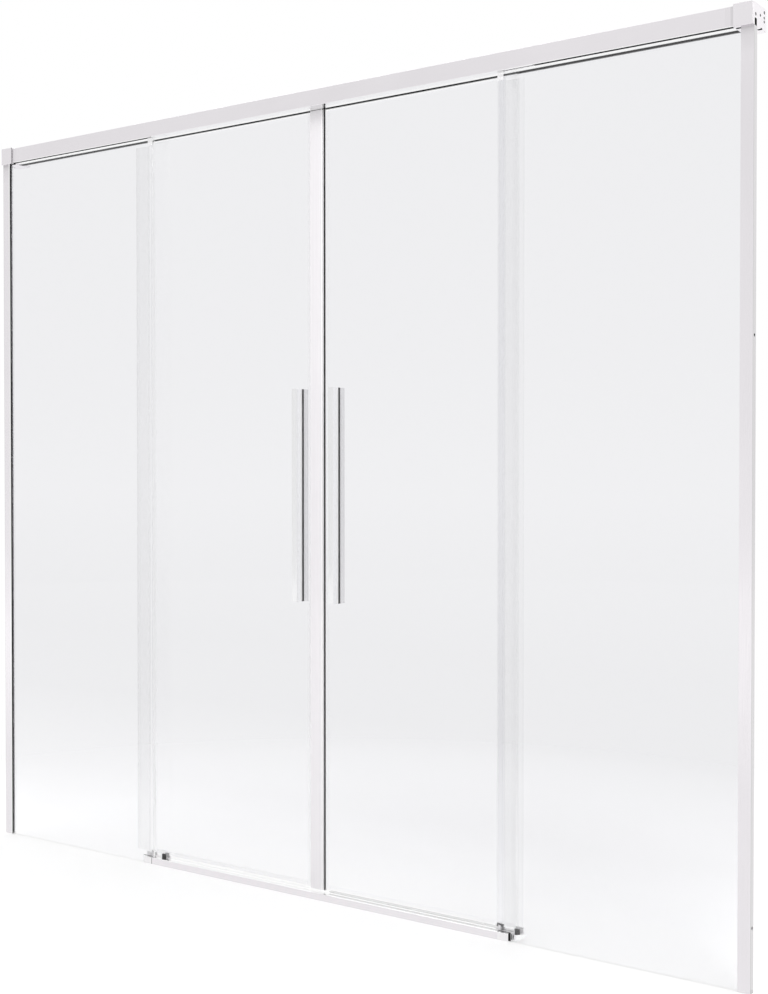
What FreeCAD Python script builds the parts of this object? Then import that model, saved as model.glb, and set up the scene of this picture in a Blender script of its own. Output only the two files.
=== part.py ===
import FreeCAD, Part
import os
import re
import Sketcher

# A sliding bath screen between two walls: two fixed panes, two doors that hang from
# rollers in a top rail, wall channels, a low sill and pairs of handles.
# X runs along the screen, -Y is the room side, +Y the bath side, Z is up from the bath rim.

# Driving dimensions, in millimetres
SIZES = [
    ("screen_width", 1700, "wall to wall"),
    ("screen_height", 1500, "bath rim to the top of the end caps"),
    ("glass_thickness", 6, "all four panes"),
    ("fixed_plane", 17, "rail centre forward to the middle of the fixed panes"),
    ("door_plane", 7, "rail centre back to the middle of the doors"),
    ("pane_overlap", 24, "a fixed pane over the door behind it"),
    ("overlap_shift", 10, "a quarter of the width in to the middle of that overlap"),
    ("door_gap", 17, "screen centre to the meeting edge of a door pane"),
    ("travel_share", 5, "the width over how far a door opens"),
    ("door_bottom", 15, "bath rim to the bottom of a door pane"),
    ("door_rise", 21.5, "rail underside to the top of a door pane"),

    ("rail_height", 30, "rail section"),
    ("rail_depth", 51, "rail section"),
    ("rail_wall", 2, "rail section"),
    ("rail_round", 0.6, "rounding of the rail's outer edges"),
    ("glazing_depth", 10, "slot for the fixed panes in the rail"),
    ("gasket_wall", 1.2, "rubber each side of a fixed pane"),
    ("gasket_web", 1, "rubber over the edge of a fixed pane"),
    ("cover_wall", 1.4, "strip that closes the slot between the fixed panes"),
    ("cover_rise", 8, "height of that strip"),
    ("track_floor", 2.5, "rail floor that carries the track"),
    ("track_offset", 11.7, "door plane forward to the track bead"),
    ("bead_width", 3.6, "track bead at its foot"),
    ("bead_crown", 2, "track bead at its top"),
    ("bead_height", 2.2, "track bead above the floor"),
    ("slot_front", 4.6, "door plane forward to the rail floor"),
    ("slot_rear", 4.4, "door plane back to the rear lip"),
    ("lip_height", 3, "rear lip of the rail"),
    ("port_outer", 5.8, "screw port in the rail, outside diameter"),
    ("port_bore", 3.2, "screw port in the rail, bore"),
    ("port_offset", 11.5, "door plane back to the upper screw port"),

    ("cap_length", 32, "end cap along the rail"),
    ("cap_wall", 2.4, "end cap wall round the rail"),
    ("cap_fit", 0.1, "play of the rail in its cap"),
    ("cap_plate", 6, "end cap plate against the wall"),
    ("cap_round", 0.8, "rounding of the cap's edges"),
    ("notch_height", 11, "notch of the cap plate over the wall channel"),
    ("drain_width", 6, "drain notch in the cap plate, under the doors"),
    ("drain_height", 1.8, "drain notch in the cap plate"),
    ("fixing_hole", 4.2, "wall fixing holes in the cap"),
    ("fixing_height", 17.3, "rail underside to the wall fixing holes"),
    ("fixing_first", 2, "rail centre back to the first wall fixing hole"),
    ("fixing_spacing", 16.3, "first wall fixing hole to the rear one"),
    ("fixing_drop", 5.9, "rear fixing hole down to the spare one"),
    ("screw_shank", 3, "rail screws"),
    ("screw_head", 4.6, "rail screws"),
    ("screw_sink", 2.4, "rail screws, height of the head"),
    ("screw_length", 24, "rail screws, under the head"),
    ("screw_play", 0.3, "rail screws in the cap"),

    ("channel_width", 21, "wall channel along the screen"),
    ("channel_wall", 1.8, "wall channel flanges"),
    ("channel_base", 2.5, "wall channel against the wall"),
    ("channel_round", 0.5, "rounding of the channel's lips"),
    ("channel_hole", 4.8, "wall fixing holes in the channel"),
    ("channel_low", 100, "bath rim to the lower fixing hole"),
    ("channel_spacing", 900, "fixing holes in the channel"),
    ("pane_gap", 0.5, "fixed pane to the cap plate"),
    ("base_seal", 2, "strip under a fixed pane"),

    ("seal_wall", 1.2, "overlap seal on the fixed pane"),
    ("seal_grip", 11, "overlap seal, grip over the pane edge"),
    ("seal_nose", 1, "overlap seal in front of the pane edge"),
    ("web_reach", 48, "overlap seal, pane edge to the end of the web"),
    ("seal_lip", 1, "overlap seal, lip at the end of the web"),
    ("seal_gap", 0.3, "seals to what is above and below them"),
    ("web_drop", 16, "overlap seal, web below the rail"),
    ("web_rise", 8, "overlap seal, web above the foot of its grip"),

    ("sill_front", 13, "sill height on the room side"),
    ("sill_rear", 4.5, "sill height on the bath side"),
    ("sill_depth", 44, "sill from front to back"),
    ("sill_ledge", 3, "level strip along the front of the sill"),
    ("sill_wall", 1.6, "sill section"),
    ("sill_round", 0.8, "rounding of the sill's front edge"),
    ("sill_hollow", 30, "width of the sill's hollow"),
    ("shoe_length", 88, "end shoe of the sill"),
    ("shoe_step", 11.5, "end shoe behind the pane, past its front jaw"),
    ("shoe_nose", 53, "end shoe past the fixed pane edge"),
    ("shoe_floor", 1, "end shoe under the pane"),
    ("pad_rise", 3, "rubber in the shoe above the sill"),
    ("pad_proud", 3.8, "rubber past the front jaw of the shoe"),
    ("plug_length", 12, "tongue of the shoe in the sill"),
    ("plug_width", 12, "tongue of the shoe in the sill"),
    ("plug_height", 6, "tongue of the shoe in the sill"),
    ("plug_fit", 0.2, "play of that tongue"),
    ("guide_length", 48, "door guide along the screen"),
    ("guide_jaw", 11, "jaws at each end of the door guide"),
    ("guide_wall", 3, "door guide jaws"),
    ("guide_fit", 0.5, "door guide to the bottom seal, each side"),
    ("guide_floor", 3.5, "door guide floor above its seat"),
    ("guide_top", 17.5, "bath rim to the top of the jaws"),
    ("guide_inset", 39, "inner end of the shoe to the door guide"),
    ("peg_size", 5, "pegs of the door guide in the shoe"),
    ("peg_length", 3, "pegs of the door guide in the shoe"),
    ("peg_spacing", 24, "pegs of the door guide in the shoe"),
    ("peg_fit", 0.1, "play of the guide and its pegs"),

    ("drip_wall", 1.5, "bottom seal of a door"),
    ("drip_grip", 8, "bottom seal up the pane"),
    ("drip_web", 3.5, "bottom seal under the pane"),
    ("drip_fin", 3, "bottom seal, drip fin below that"),
    ("drip_tip", 3, "bottom seal, width of the fin's tip"),
    ("edge_grip", 8, "edge seal of a door, along the pane"),
    ("edge_nose", 1.2, "edge seal of a door, past the pane"),
    ("meeting_grip", 8.5, "meeting seal of a door, along the pane"),
    ("meeting_line", 11.4, "screen centre to where the two doors meet"),
    ("meeting_gap", 0.6, "closed doors, seal to seal"),
    ("magnet_depth", 3, "magnet strip"),

    ("wheel_radius", 7.5, "roller, where it runs on the bead"),
    ("wheel_flange", 9.3, "roller, over its flanges"),
    ("wheel_width", 7, "roller"),
    ("wheel_groove", 3, "roller, bottom of the groove"),
    ("wheel_mouth", 5, "roller, mouth of the groove"),
    ("wheel_bevel", 0.5, "roller edges"),
    ("roll_gap", 0.3, "roller to the bead"),
    ("axle_size", 5, "roller axle"),
    ("axle_fit", 0.05, "axle in the roller, each side"),
    ("axle_collar", 7.2, "axle collar behind the roller"),
    ("axle_head", 8, "axle head before the roller"),
    ("axle_cap", 1.2, "height of that head"),
    ("axle_play", 0.3, "roller along its axle, each side"),
    ("hanger_inset", 71, "outer edge of a door pane in to the outer hanger"),
    ("hanger_inner", 75, "screen centre to the inner hangers"),
    ("hanger_length", 50, "hanger along the rail"),
    ("hanger_depth", 4.4, "hanger before the pane"),
    ("hanger_low", 6, "rail underside to the foot of a hanger"),
    ("hanger_high", 22, "rail underside to the back of a hanger"),
    ("hanger_ear", 7, "hanger, length of its two ears"),
    ("hanger_slope", 4, "hanger, cut corners"),
    ("ear_gap", 0.8, "hanger ears to the top of the rail"),
    ("bolt_spacing", 32, "hanger bolts"),
    ("bolt_size", 5, "hanger bolts"),
    ("bolt_head", 8.5, "hanger bolts"),
    ("bolt_cap", 2.6, "hanger bolts, height of the head"),
    ("bolt_fit", 0.1, "hanger bolts in their holes, each side"),
    ("boss_size", 9.6, "hanger bosses in the pane"),
    ("boss_fit", 0.2, "bosses in the pane, each side"),
    ("clamp_length", 44, "clamp plate behind the pane"),
    ("clamp_depth", 2.6, "clamp plate behind the pane"),
    ("clamp_height", 10, "clamp plate behind the pane"),
    ("stop_gap", 0.5, "open door, hanger to the stop"),
    ("stop_length", 12, "rail stop"),
    ("stop_height", 16, "rail stop, above the rail underside"),
    ("stop_foot", 5, "rail stop before the bead"),
    ("stop_reach", 1, "rail stop past the rail floor"),
    ("stop_fit", 0.3, "rail stop round the bead"),

    ("handle_place", 42.7, "screen centre to the handles"),
    ("handle_height", 400, "handles"),
    ("handle_middle", 750, "bath rim to the middle of the handles"),
    ("handle_reach", 17.8, "pane to the front of the outer handle"),
    ("grip_width", 12, "outer handle, front face"),
    ("grip_root", 10.8, "outer handle at the glass"),
    ("grip_round", 1, "outer handle, rounded front edges"),
    ("pad_depth", 1, "rubber pads under the handles"),
    ("bar_width", 12, "inner handle"),
    ("bar_depth", 14.4, "inner handle"),
    ("bar_round", 1.5, "inner handle, rounded edges"),
    ("stud_size", 4, "handle bolts"),
    ("stud_spacing", 320, "handle bolts"),
    ("stud_bite", 12, "handle bolts in the outer handle"),
    ("stud_head", 7, "handle bolts"),
    ("stud_cap", 2.8, "handle bolts, height of the head"),
    ("stud_fit", 0.15, "handle bolts in their holes, each side"),
    ("collar_size", 8.6, "rubber collar round a handle bolt in the pane"),
    ("collar_fit", 0.2, "collar in the pane, each side"),
]

# Places that follow from the driving dimensions
DERIVED = {
    "half_width": "screen_width / 2",
    "fixed_edge": "screen_width / 4 - overlap_shift - pane_overlap / 2",
    "door_edge": "screen_width / 4 - overlap_shift + pane_overlap / 2",
    "door_travel": "screen_width / travel_share",
    "rail_bottom": "screen_height - cap_wall - cap_fit - rail_height",
    "rail_top": "rail_bottom + rail_height",
    "rail_half": "half_width - cap_plate",
    "cap_shell": "cap_wall + cap_fit",
    "cap_low": "rail_bottom - cap_shell",
    "cap_half": "rail_depth / 2 + cap_shell",
    "socket_half": "rail_depth / 2 + cap_fit",
    "slot_half": "glass_thickness / 2 + gasket_wall",
    "slot_near": "-fixed_plane - slot_half",
    "slot_far": "-fixed_plane + slot_half",
    "fixed_face": "-fixed_plane - glass_thickness / 2",
    "fixed_back": "-fixed_plane + glass_thickness / 2",
    "channel_half": "slot_half + channel_wall",
    "front_face": "-fixed_plane - channel_half",
    "pane_end": "half_width - cap_plate - pane_gap",
    "pane_top": "rail_bottom + glazing_depth - gasket_web",
    "channel_mouth": "half_width - channel_width",
    "channel_top": "cap_low",
    "shoe_inner": "fixed_edge - shoe_nose",
    "shoe_outer": "shoe_inner + shoe_length",
    "shoe_slot": "fixed_edge - seal_gap",
    "pad_top": "sill_front + pad_rise",
    "jaw_end": "shoe_outer - shoe_step",
    "pad_end": "jaw_end + pad_proud",
    "sill_back": "front_face + sill_depth",
    "sill_edge": "front_face + sill_ledge",
    "sill_fall": "(sill_front - sill_rear) / (sill_depth - sill_ledge)",
    "pane_front": "door_plane - glass_thickness / 2",
    "pane_back": "door_plane + glass_thickness / 2",
    "drip_half": "glass_thickness / 2 + drip_wall",
    "drip_bottom": "door_bottom - drip_web - drip_fin",
    "meeting_foot": "door_bottom - drip_web",
    "guide_half": "drip_half + guide_fit + guide_wall",
    "guide_front": "door_plane - guide_half",
    "guide_back": "door_plane + guide_half",
    "guide_centre": "shoe_inner + guide_inset + guide_length / 2",
    "seal_half": "glass_thickness / 2 + seal_wall",
    "seal_foot": "door_bottom + drip_grip + seal_gap",
    "seal_head": "rail_bottom - seal_gap",
    "track_plane": "door_plane - track_offset",
    "axle_level": "rail_bottom + track_floor + bead_height + roll_gap + wheel_radius",
    "hanger_front": "pane_front - hanger_depth",
    "hanger_outer": "door_edge - hanger_inset",
    "stop_face": "hanger_outer + hanger_length / 2 + door_travel + stop_gap",
    "lower_port": "rail_bottom + glazing_depth + rail_wall + port_sit",
    "upper_port": "rail_top - rail_wall - port_sit",
    "port_sit": "0.45 * port_outer",
    "port_back": "door_plane + port_offset",
    "fixing_level": "rail_bottom + fixing_height",
    "fixing_rear": "fixing_first + fixing_spacing",
    "handle_front": "pane_front - handle_reach",
    "handle_foot": "handle_middle - handle_height / 2",
    "grip_left": "handle_place - grip_width / 2",
    "grip_right": "handle_place + grip_width / 2",
    "bar_left": "handle_place - bar_width / 2",
    "bar_right": "handle_place + bar_width / 2",
    "bar_back": "bar_front + bar_depth",
    "bar_front": "pane_back + pad_depth",
}

doc = FreeCAD.newDocument("bath_screen")
sheet = doc.addObject("Spreadsheet::Sheet", "Sizes")
for row, (alias, size, note) in enumerate(SIZES, start=1):
    sheet.set("A%d" % row, alias)
    sheet.set("B%d" % row, str(size))
    sheet.setAlias("B%d" % row, alias)
    sheet.set("C%d" % row, note)
doc.recompute()

ALIASES = {alias for alias, size, note in SIZES}
PARTS = {}


def formula(text):
    """Turns plain names of sizes into references to the sheet's cells."""
    def resolve(match):
        word = match.group(0)
        if word in DERIVED:
            return "(" + formula(DERIVED[word]) + ")"
        if word in ALIASES:
            return "Sizes." + word
        raise NameError("no size is called " + word)
    return re.sub(r"[a-z_]+", resolve, text)


def number(text):
    """The value of a formula in millimetres."""
    return float(sheet.evalExpression(formula(text)))


def bind(item, prop, text):
    """Ties one property of an object to a formula of sizes."""
    item.setExpression(prop, formula(text))


def keep(label, item, solids=1):
    """Names a finished sub-part and notes how many solids it has."""
    item.Label = label
    PARTS[label] = (item, solids)
    return item


def new_body(name):
    """An empty body for one piece."""
    return doc.addObject("PartDesign::Body", name)


def blank_sketch(body, role, start, length):
    """A sketch on one of the body's own planes, at the place where a length along the normal starts."""
    sketch = body.newObject("Sketcher::SketchObject", body.Name + "_sketch")
    plane = [feature for feature in body.Origin.OriginFeatures if feature.Role == role][0]
    sketch.AttachmentSupport = [(plane, "")]
    sketch.MapMode = "FlatFace"
    # The XZ plane looks along -Y, so its lengths run from back to front
    shift = "-(%s) - (%s)" % (start, length) if role == "XZ_Plane" else start
    bind(sketch, "AttachmentOffset.Base.z", shift)
    return sketch


def fix_point(sketch, element, point, across, along):
    """Ties one point of a sketch to two formulas, measured from the sketch's origin."""
    for kind, text in (("DistanceX", across), ("DistanceY", along)):
        place = sketch.addConstraint(Sketcher.Constraint(kind, -1, 1, element, point, number(text)))
        bind(sketch, "Constraints[%d]" % place, text)


def draw_outline(sketch, corners):
    """Adds a closed outline through corners that are given as pairs of formulas."""
    first = sketch.GeometryCount
    count = len(corners)
    spots = [FreeCAD.Vector(number(across), number(along), 0) for across, along in corners]
    for index in range(count):
        sketch.addGeometry(Part.LineSegment(spots[index], spots[(index + 1) % count]), False)
    for index in range(count):
        following = first + (index + 1) % count
        sketch.addConstraint(Sketcher.Constraint("Coincident", first + index, 2, following, 1))
    for index, (across, along) in enumerate(corners):
        fix_point(sketch, first + index, 1, across, along)


def draw_circle(sketch, across, along, size):
    """Adds a circle of a given diameter."""
    centre = FreeCAD.Vector(number(across), number(along), 0)
    circle = sketch.addGeometry(Part.Circle(centre, FreeCAD.Vector(0, 0, 1), number(size) / 2), False)
    fix_point(sketch, circle, 3, across, along)
    place = sketch.addConstraint(Sketcher.Constraint("Diameter", circle, number(size)))
    bind(sketch, "Constraints[%d]" % place, size)


def rectangle(left, right, low, high):
    """The four corners of a rectangle."""
    return [(left, low), (right, low), (right, high), (left, high)]


def extrude(body, sketch, length):
    """Pads a sketch along its plane's normal."""
    pad = body.newObject("PartDesign::Pad", body.Name + "_pad")
    pad.Profile = sketch
    bind(pad, "Length", length)
    doc.recompute()
    return pad


def carve(body, sketch, length):
    """Cuts a sketch out of the body along its plane's normal, and makes sure that it cut something."""
    before = body.Shape.Volume
    pocket = body.newObject("PartDesign::Pocket", body.Name + "_pocket")
    pocket.Profile = sketch
    pocket.Reversed = True
    bind(pocket, "Length", length)
    doc.recompute()
    if body.Shape.Volume >= before:
        raise RuntimeError(body.Name + ": a cut missed the solid")
    return pocket


def add_block(body, role, corners, start, length):
    """Adds an outline carried from a start over a length."""
    sketch = blank_sketch(body, role, start, length)
    draw_outline(sketch, corners)
    return extrude(body, sketch, length)


def cut_block(body, role, corners, start, length):
    """Cuts an outline from a start over a length."""
    sketch = blank_sketch(body, role, start, length)
    draw_outline(sketch, corners)
    return carve(body, sketch, length)


def add_rods(body, role, circles, start, length):
    """Adds round rods, each given by two places and a diameter."""
    sketch = blank_sketch(body, role, start, length)
    for across, along, size in circles:
        draw_circle(sketch, across, along, size)
    return extrude(body, sketch, length)


def cut_holes(body, role, circles, start, length):
    """Cuts round holes, each given by two places and a diameter."""
    sketch = blank_sketch(body, role, start, length)
    for across, along, size in circles:
        draw_circle(sketch, across, along, size)
    return carve(body, sketch, length)


def profile_body(name, role, corners, start, length):
    """A body that is one outline carried along a length."""
    body = new_body(name)
    add_block(body, role, corners, start, length)
    return body


def turned_body(name, role, corners):
    """A body turned about the sketch's own horizontal axis, from pairs of place and radius."""
    body = new_body(name)
    sketch = blank_sketch(body, role, "0", "0")
    draw_outline(sketch, corners)
    turn = body.newObject("PartDesign::Revolution", name + "_turn")
    turn.Profile = sketch
    turn.ReferenceAxis = (sketch, ["H_Axis"])
    turn.Angle = 360
    doc.recompute()
    return body


def round_edges(body, radius, chosen):
    """Rounds the edges of a body that the chosen rule picks."""
    tip = body.Tip
    names = ["Edge%d" % (index + 1) for index, edge in enumerate(tip.Shape.Edges) if chosen(edge)]
    fillet = body.newObject("PartDesign::Fillet", body.Name + "_fillet")
    fillet.Base = (tip, names)
    bind(fillet, "Radius", radius)
    doc.recompute()
    return fillet


def runs_along(edge, axis):
    """True for a straight edge parallel to one axis."""
    box = edge.BoundBox
    spans = {"x": box.XLength, "y": box.YLength, "z": box.ZLength}
    across = sum(span for name, span in spans.items() if name != axis)
    return spans[axis] > 0.001 and across < 0.001


def passes_corner(edge, axes, corners):
    """True for an edge that goes through one of the corners of the section it was drawn from."""
    centre = edge.BoundBox.Center
    spot = [getattr(centre, axis) for axis in axes]
    near = [max(abs(spot[0] - number(across)), abs(spot[1] - number(along))) for across, along in corners]
    return min(near) < 0.001


def round_corners(body, radius, axis, corners):
    """Rounds the edges along one axis at the given corners of the section."""
    others = "xyz".replace(axis, "")
    round_edges(body, radius, lambda edge: runs_along(edge, axis) and passes_corner(edge, others, corners))


def place(item, across=None, depth=None, height=None):
    """Moves a piece from its own drawing to where it sits."""
    for prop, text in (("x", across), ("y", depth), ("z", height)):
        if text is not None:
            bind(item, "Placement.Base." + prop, text)
    return item


def group(label, items):
    """Like pieces that share one node, each a separate solid."""
    compound = doc.addObject("Part::Compound", label + "_group")
    compound.Links = items
    return keep(label, compound, len(items))


def mirror_left(name):
    """The left-hand twin of a right-hand piece, across the middle of the screen."""
    source, solids = PARTS[name + "_right"]
    twin = doc.addObject("Part::Mirroring", name + "_twin")
    twin.Source = source
    twin.Normal = FreeCAD.Vector(1, 0, 0)
    return keep(name + "_left", twin, solids)


# Top rail: an extruded section with a slot for the fixed panes in front, a floor with the
# roller track behind it, and a slot that the doors hang through
def build_top_rail():
    half_depth = "rail_depth / 2"
    floor_top = "rail_bottom + track_floor"
    bead_top = "rail_bottom + track_floor + bead_height"
    ceiling = "rail_top - rail_wall"
    slot_wall = "slot_far + rail_wall"
    slot_roof = "rail_bottom + glazing_depth"
    door_front = "door_plane - slot_front"
    door_back = "door_plane + slot_rear"
    inner_back = half_depth + " - rail_wall"
    inner_front = "-rail_depth / 2 + rail_wall"
    section = [
        ("-rail_depth / 2", "rail_bottom"), ("slot_near", "rail_bottom"), ("slot_near", slot_roof),
        ("slot_far", slot_roof), ("slot_far", "rail_bottom"), (door_front, "rail_bottom"),
        (door_front, floor_top), ("track_plane + bead_width / 2", floor_top),
        ("track_plane + bead_crown / 2", bead_top), ("track_plane - bead_crown / 2", bead_top),
        ("track_plane - bead_width / 2", floor_top), (slot_wall, floor_top),
        (slot_wall, slot_roof + " + rail_wall"), (inner_front, slot_roof + " + rail_wall"),
        (inner_front, ceiling), (inner_back, ceiling), (inner_back, "rail_bottom + lip_height"),
        (door_back, "rail_bottom + lip_height"), (door_back, "rail_bottom"),
        (half_depth, "rail_bottom"), (half_depth, "rail_top"), ("-rail_depth / 2", "rail_top"),
    ]
    ports = [("-fixed_plane", "lower_port"), ("port_back", "upper_port")]
    rail = profile_body("rail", "YZ_Plane", section, "-rail_half", "2 * rail_half")
    corners = [("-rail_depth / 2", "rail_bottom"), ("-rail_depth / 2", "rail_top"),
               (half_depth, "rail_bottom"), (half_depth, "rail_top")]
    round_corners(rail, "rail_round", "x", corners)
    add_rods(rail, "YZ_Plane", [spot + ("port_outer",) for spot in ports], "-rail_half", "2 * rail_half")
    cut_holes(rail, "YZ_Plane", [spot + ("port_bore",) for spot in ports], "-rail_half", "2 * rail_half")
    keep("top_rail", rail)


# End cap: a box that the rail's end plugs into, closed by a drilled plate against the wall
def build_end_cap():
    cap_start = "half_width - cap_length"
    socket = "cap_length - cap_plate"
    slot_front = "slot_near - cap_fit"
    slot_back = "slot_far + cap_fit"
    outside = rectangle("-cap_half", "cap_half", "cap_low", "screen_height")
    cap = profile_body("cap", "YZ_Plane", outside, cap_start, "cap_length")
    round_edges(cap, "cap_round", lambda edge: True)
    inside = rectangle("-socket_half", "socket_half", "rail_bottom - cap_fit", "rail_top + cap_fit")
    cut_block(cap, "YZ_Plane", inside, cap_start, socket)
    # The slot under the socket lets the fixed pane and its rubber through
    slot = rectangle(slot_front, slot_back, "cap_low", "rail_bottom")
    cut_block(cap, "YZ_Plane", slot, cap_start, socket)
    notch = rectangle(slot_front, slot_back, "cap_low", "cap_low + notch_height")
    cut_block(cap, "YZ_Plane", notch, "rail_half", "cap_plate")
    drain = rectangle("door_plane - drain_width / 2", "door_plane + drain_width / 2",
                      "cap_low", "cap_low + drain_height")
    cut_block(cap, "YZ_Plane", drain, "rail_half", "cap_plate")
    fixings = [("fixing_first", "fixing_level"), ("fixing_rear", "fixing_level"),
               ("fixing_rear", "fixing_level - fixing_drop")]
    ports = [("-fixed_plane", "lower_port"), ("port_back", "upper_port")]
    cut_holes(cap, "YZ_Plane", [spot + ("fixing_hole",) for spot in fixings], "rail_half", "cap_plate")
    cut_holes(cap, "YZ_Plane", [spot + ("screw_shank + 2 * screw_play",) for spot in ports],
              "rail_half", "cap_plate")
    cut_holes(cap, "YZ_Plane", [spot + ("screw_head + 2 * screw_play",) for spot in ports],
              "half_width - screw_sink - screw_play", "screw_sink + screw_play")
    keep("rail_end_cap_right", cap)
    mirror_left("rail_end_cap")


# Rail screws: two through each cap plate into the rail's screw ports
def build_rail_screws():
    seat = "half_width - screw_sink - screw_play"
    shape = [(seat + " - screw_length", "0"), (seat + " - screw_length", "screw_shank / 2"),
             (seat, "screw_shank / 2"), (seat, "screw_head / 2"), (seat + " + screw_sink", "screw_head / 2"),
             (seat + " + screw_sink", "0")]
    screws = []
    for name, depth, height in (("front", "-fixed_plane", "lower_port"), ("rear", "port_back", "upper_port")):
        screw = place(turned_body(name + "_screw", "XY_Plane", shape), depth=depth, height=height)
        twin = doc.addObject("Part::Mirroring", name + "_screw_twin")
        twin.Source = screw
        twin.Normal = FreeCAD.Vector(1, 0, 0)
        screws += [screw, twin]
    group("rail_screws", screws)


# Cover strip: a snap-in channel that closes the glazing slot between the fixed panes
def build_cover_strip():
    top = "rail_bottom + cover_rise"
    floor = "rail_bottom + cover_wall"
    reach = "fixed_edge - seal_gap"
    section = [("slot_near", "rail_bottom"), ("slot_far", "rail_bottom"), ("slot_far", top),
               ("slot_far - cover_wall", top), ("slot_far - cover_wall", floor),
               ("slot_near + cover_wall", floor), ("slot_near + cover_wall", top), ("slot_near", top)]
    strip = profile_body("cover", "YZ_Plane", section, "-(%s)" % reach, "2 * (%s)" % reach)
    keep("rail_cover_strip", strip)


# Fixed panes with their rubbers: one in the rail, one in the wall channel, a strip below
def build_fixed_pane():
    outline = rectangle("fixed_edge", "pane_end", "base_seal", "pane_top")
    pane = profile_body("fixed_pane", "XZ_Plane", outline, "fixed_face", "glass_thickness")
    keep("fixed_glass_right", pane)
    over = "pane_top + gasket_web"
    top = [("slot_near", "rail_bottom"), ("fixed_face", "rail_bottom"), ("fixed_face", "pane_top"),
           ("fixed_back", "pane_top"), ("fixed_back", "rail_bottom"), ("slot_far", "rail_bottom"),
           ("slot_far", over), ("slot_near", over)]
    rubber = profile_body("rail_rubber", "YZ_Plane", top, "fixed_edge", "pane_end - fixed_edge")
    keep("rail_gasket_right", rubber)
    past = "pane_end + gasket_web"
    side = [("channel_mouth", "slot_near"), (past, "slot_near"), (past, "slot_far"),
            ("channel_mouth", "slot_far"), ("channel_mouth", "fixed_back"), ("pane_end", "fixed_back"),
            ("pane_end", "fixed_face"), ("channel_mouth", "fixed_face")]
    keep("wall_gasket_right", profile_body("wall_rubber", "XY_Plane", side, "0", "channel_top"))
    strip = rectangle("pad_end", "channel_mouth", "fixed_face", "fixed_back")
    keep("base_seal_right", profile_body("base_strip", "XY_Plane", strip, "0", "base_seal"))
    for name in ("fixed_glass", "rail_gasket", "wall_gasket", "base_seal"):
        mirror_left(name)


# Wall channel: a U-shaped extrusion screwed to the wall through its base
def build_wall_channel():
    front = "-fixed_plane - channel_half"
    rear = "-fixed_plane + channel_half"
    base = "half_width - channel_base"
    section = [("channel_mouth", front), ("half_width", front), ("half_width", rear), ("channel_mouth", rear),
               ("channel_mouth", "slot_far"), (base, "slot_far"), (base, "slot_near"),
               ("channel_mouth", "slot_near")]
    channel = profile_body("channel", "XY_Plane", section, "0", "channel_top")
    corners = [("channel_mouth", front), ("channel_mouth", rear)]
    round_corners(channel, "channel_round", "z", corners)
    heights = ("channel_low", "channel_low + channel_spacing")
    holes = [("-fixed_plane", height, "channel_hole") for height in heights]
    cut_holes(channel, "YZ_Plane", holes, base, "channel_base")
    keep("wall_channel_right", channel)
    mirror_left("wall_channel")


# Overlap seal: a clear extrusion that grips the fixed pane's inner edge, with a flat web
# against the back of the pane that reaches past the edge of the closed door
def build_overlap_seal():
    front = "-fixed_plane - seal_half"
    rear = "-fixed_plane + seal_half"
    nose = "fixed_edge - seal_nose"
    grip_end = "fixed_edge + seal_grip"
    web_end = "fixed_edge + web_reach"
    lip_start = "fixed_edge + web_reach - seal_wall"
    lip = "-fixed_plane + seal_half + seal_lip"
    foot = "pad_top + seal_gap"
    grip = [(nose, front), (grip_end, front), (grip_end, "fixed_face"), ("fixed_edge", "fixed_face"),
            ("fixed_edge", "fixed_back"), (grip_end, "fixed_back"), (grip_end, rear), (nose, rear)]
    seal = profile_body("overlap", "XY_Plane", grip, foot, "seal_head - (%s)" % foot)
    web = [(grip_end, "fixed_back"), (web_end, "fixed_back"), (web_end, lip), (lip_start, lip),
           (lip_start, rear), (grip_end, rear)]
    web_foot = foot + " + web_rise"
    add_block(seal, "XY_Plane", web, web_foot, "rail_bottom - web_drop - (%s)" % web_foot)
    keep("overlap_seal_right", seal)
    mirror_left("overlap_seal")


# Sill: a low hollow extrusion between the fixed panes, sloped back to the bath, with a shoe
# at each end that holds the pane's corner in rubber and carries the door guide
def sill_height(depth):
    """Height of the sloped top at a place across the sill."""
    return "sill_front - sill_fall * (%s - sill_edge)" % depth


def round_front_edge(body):
    """Rounds the upper front edge that the sill and its shoes share."""
    corners = [("front_face", "sill_front")]
    round_corners(body, "sill_round", "x", corners)


def sill_section():
    """The outer section of the sill, which its shoes carry on."""
    return [("front_face", "0"), ("sill_back", "0"), ("sill_back", "sill_rear"),
            ("sill_edge", "sill_front"), ("front_face", "sill_front")]


def build_sill():
    sill = profile_body("sill", "YZ_Plane", sill_section(), "-shoe_inner", "2 * shoe_inner")
    round_front_edge(sill)
    hollow_front = "front_face + sill_wall"
    hollow_back = "front_face + sill_wall + sill_hollow"
    hollow = [(hollow_front, "sill_wall"), (hollow_back, "sill_wall"),
              (hollow_back, sill_height(hollow_back) + " - sill_wall"),
              ("sill_edge", "sill_front - sill_wall"), (hollow_front, "sill_front - sill_wall")]
    cut_block(sill, "YZ_Plane", hollow, "-shoe_inner", "2 * shoe_inner")
    keep("sill_rail", sill)


def peg_places():
    """Where the two pegs of a door guide stand along the screen."""
    return ["guide_centre %s peg_spacing / 2" % side for side in ("-", "+")]


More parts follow.
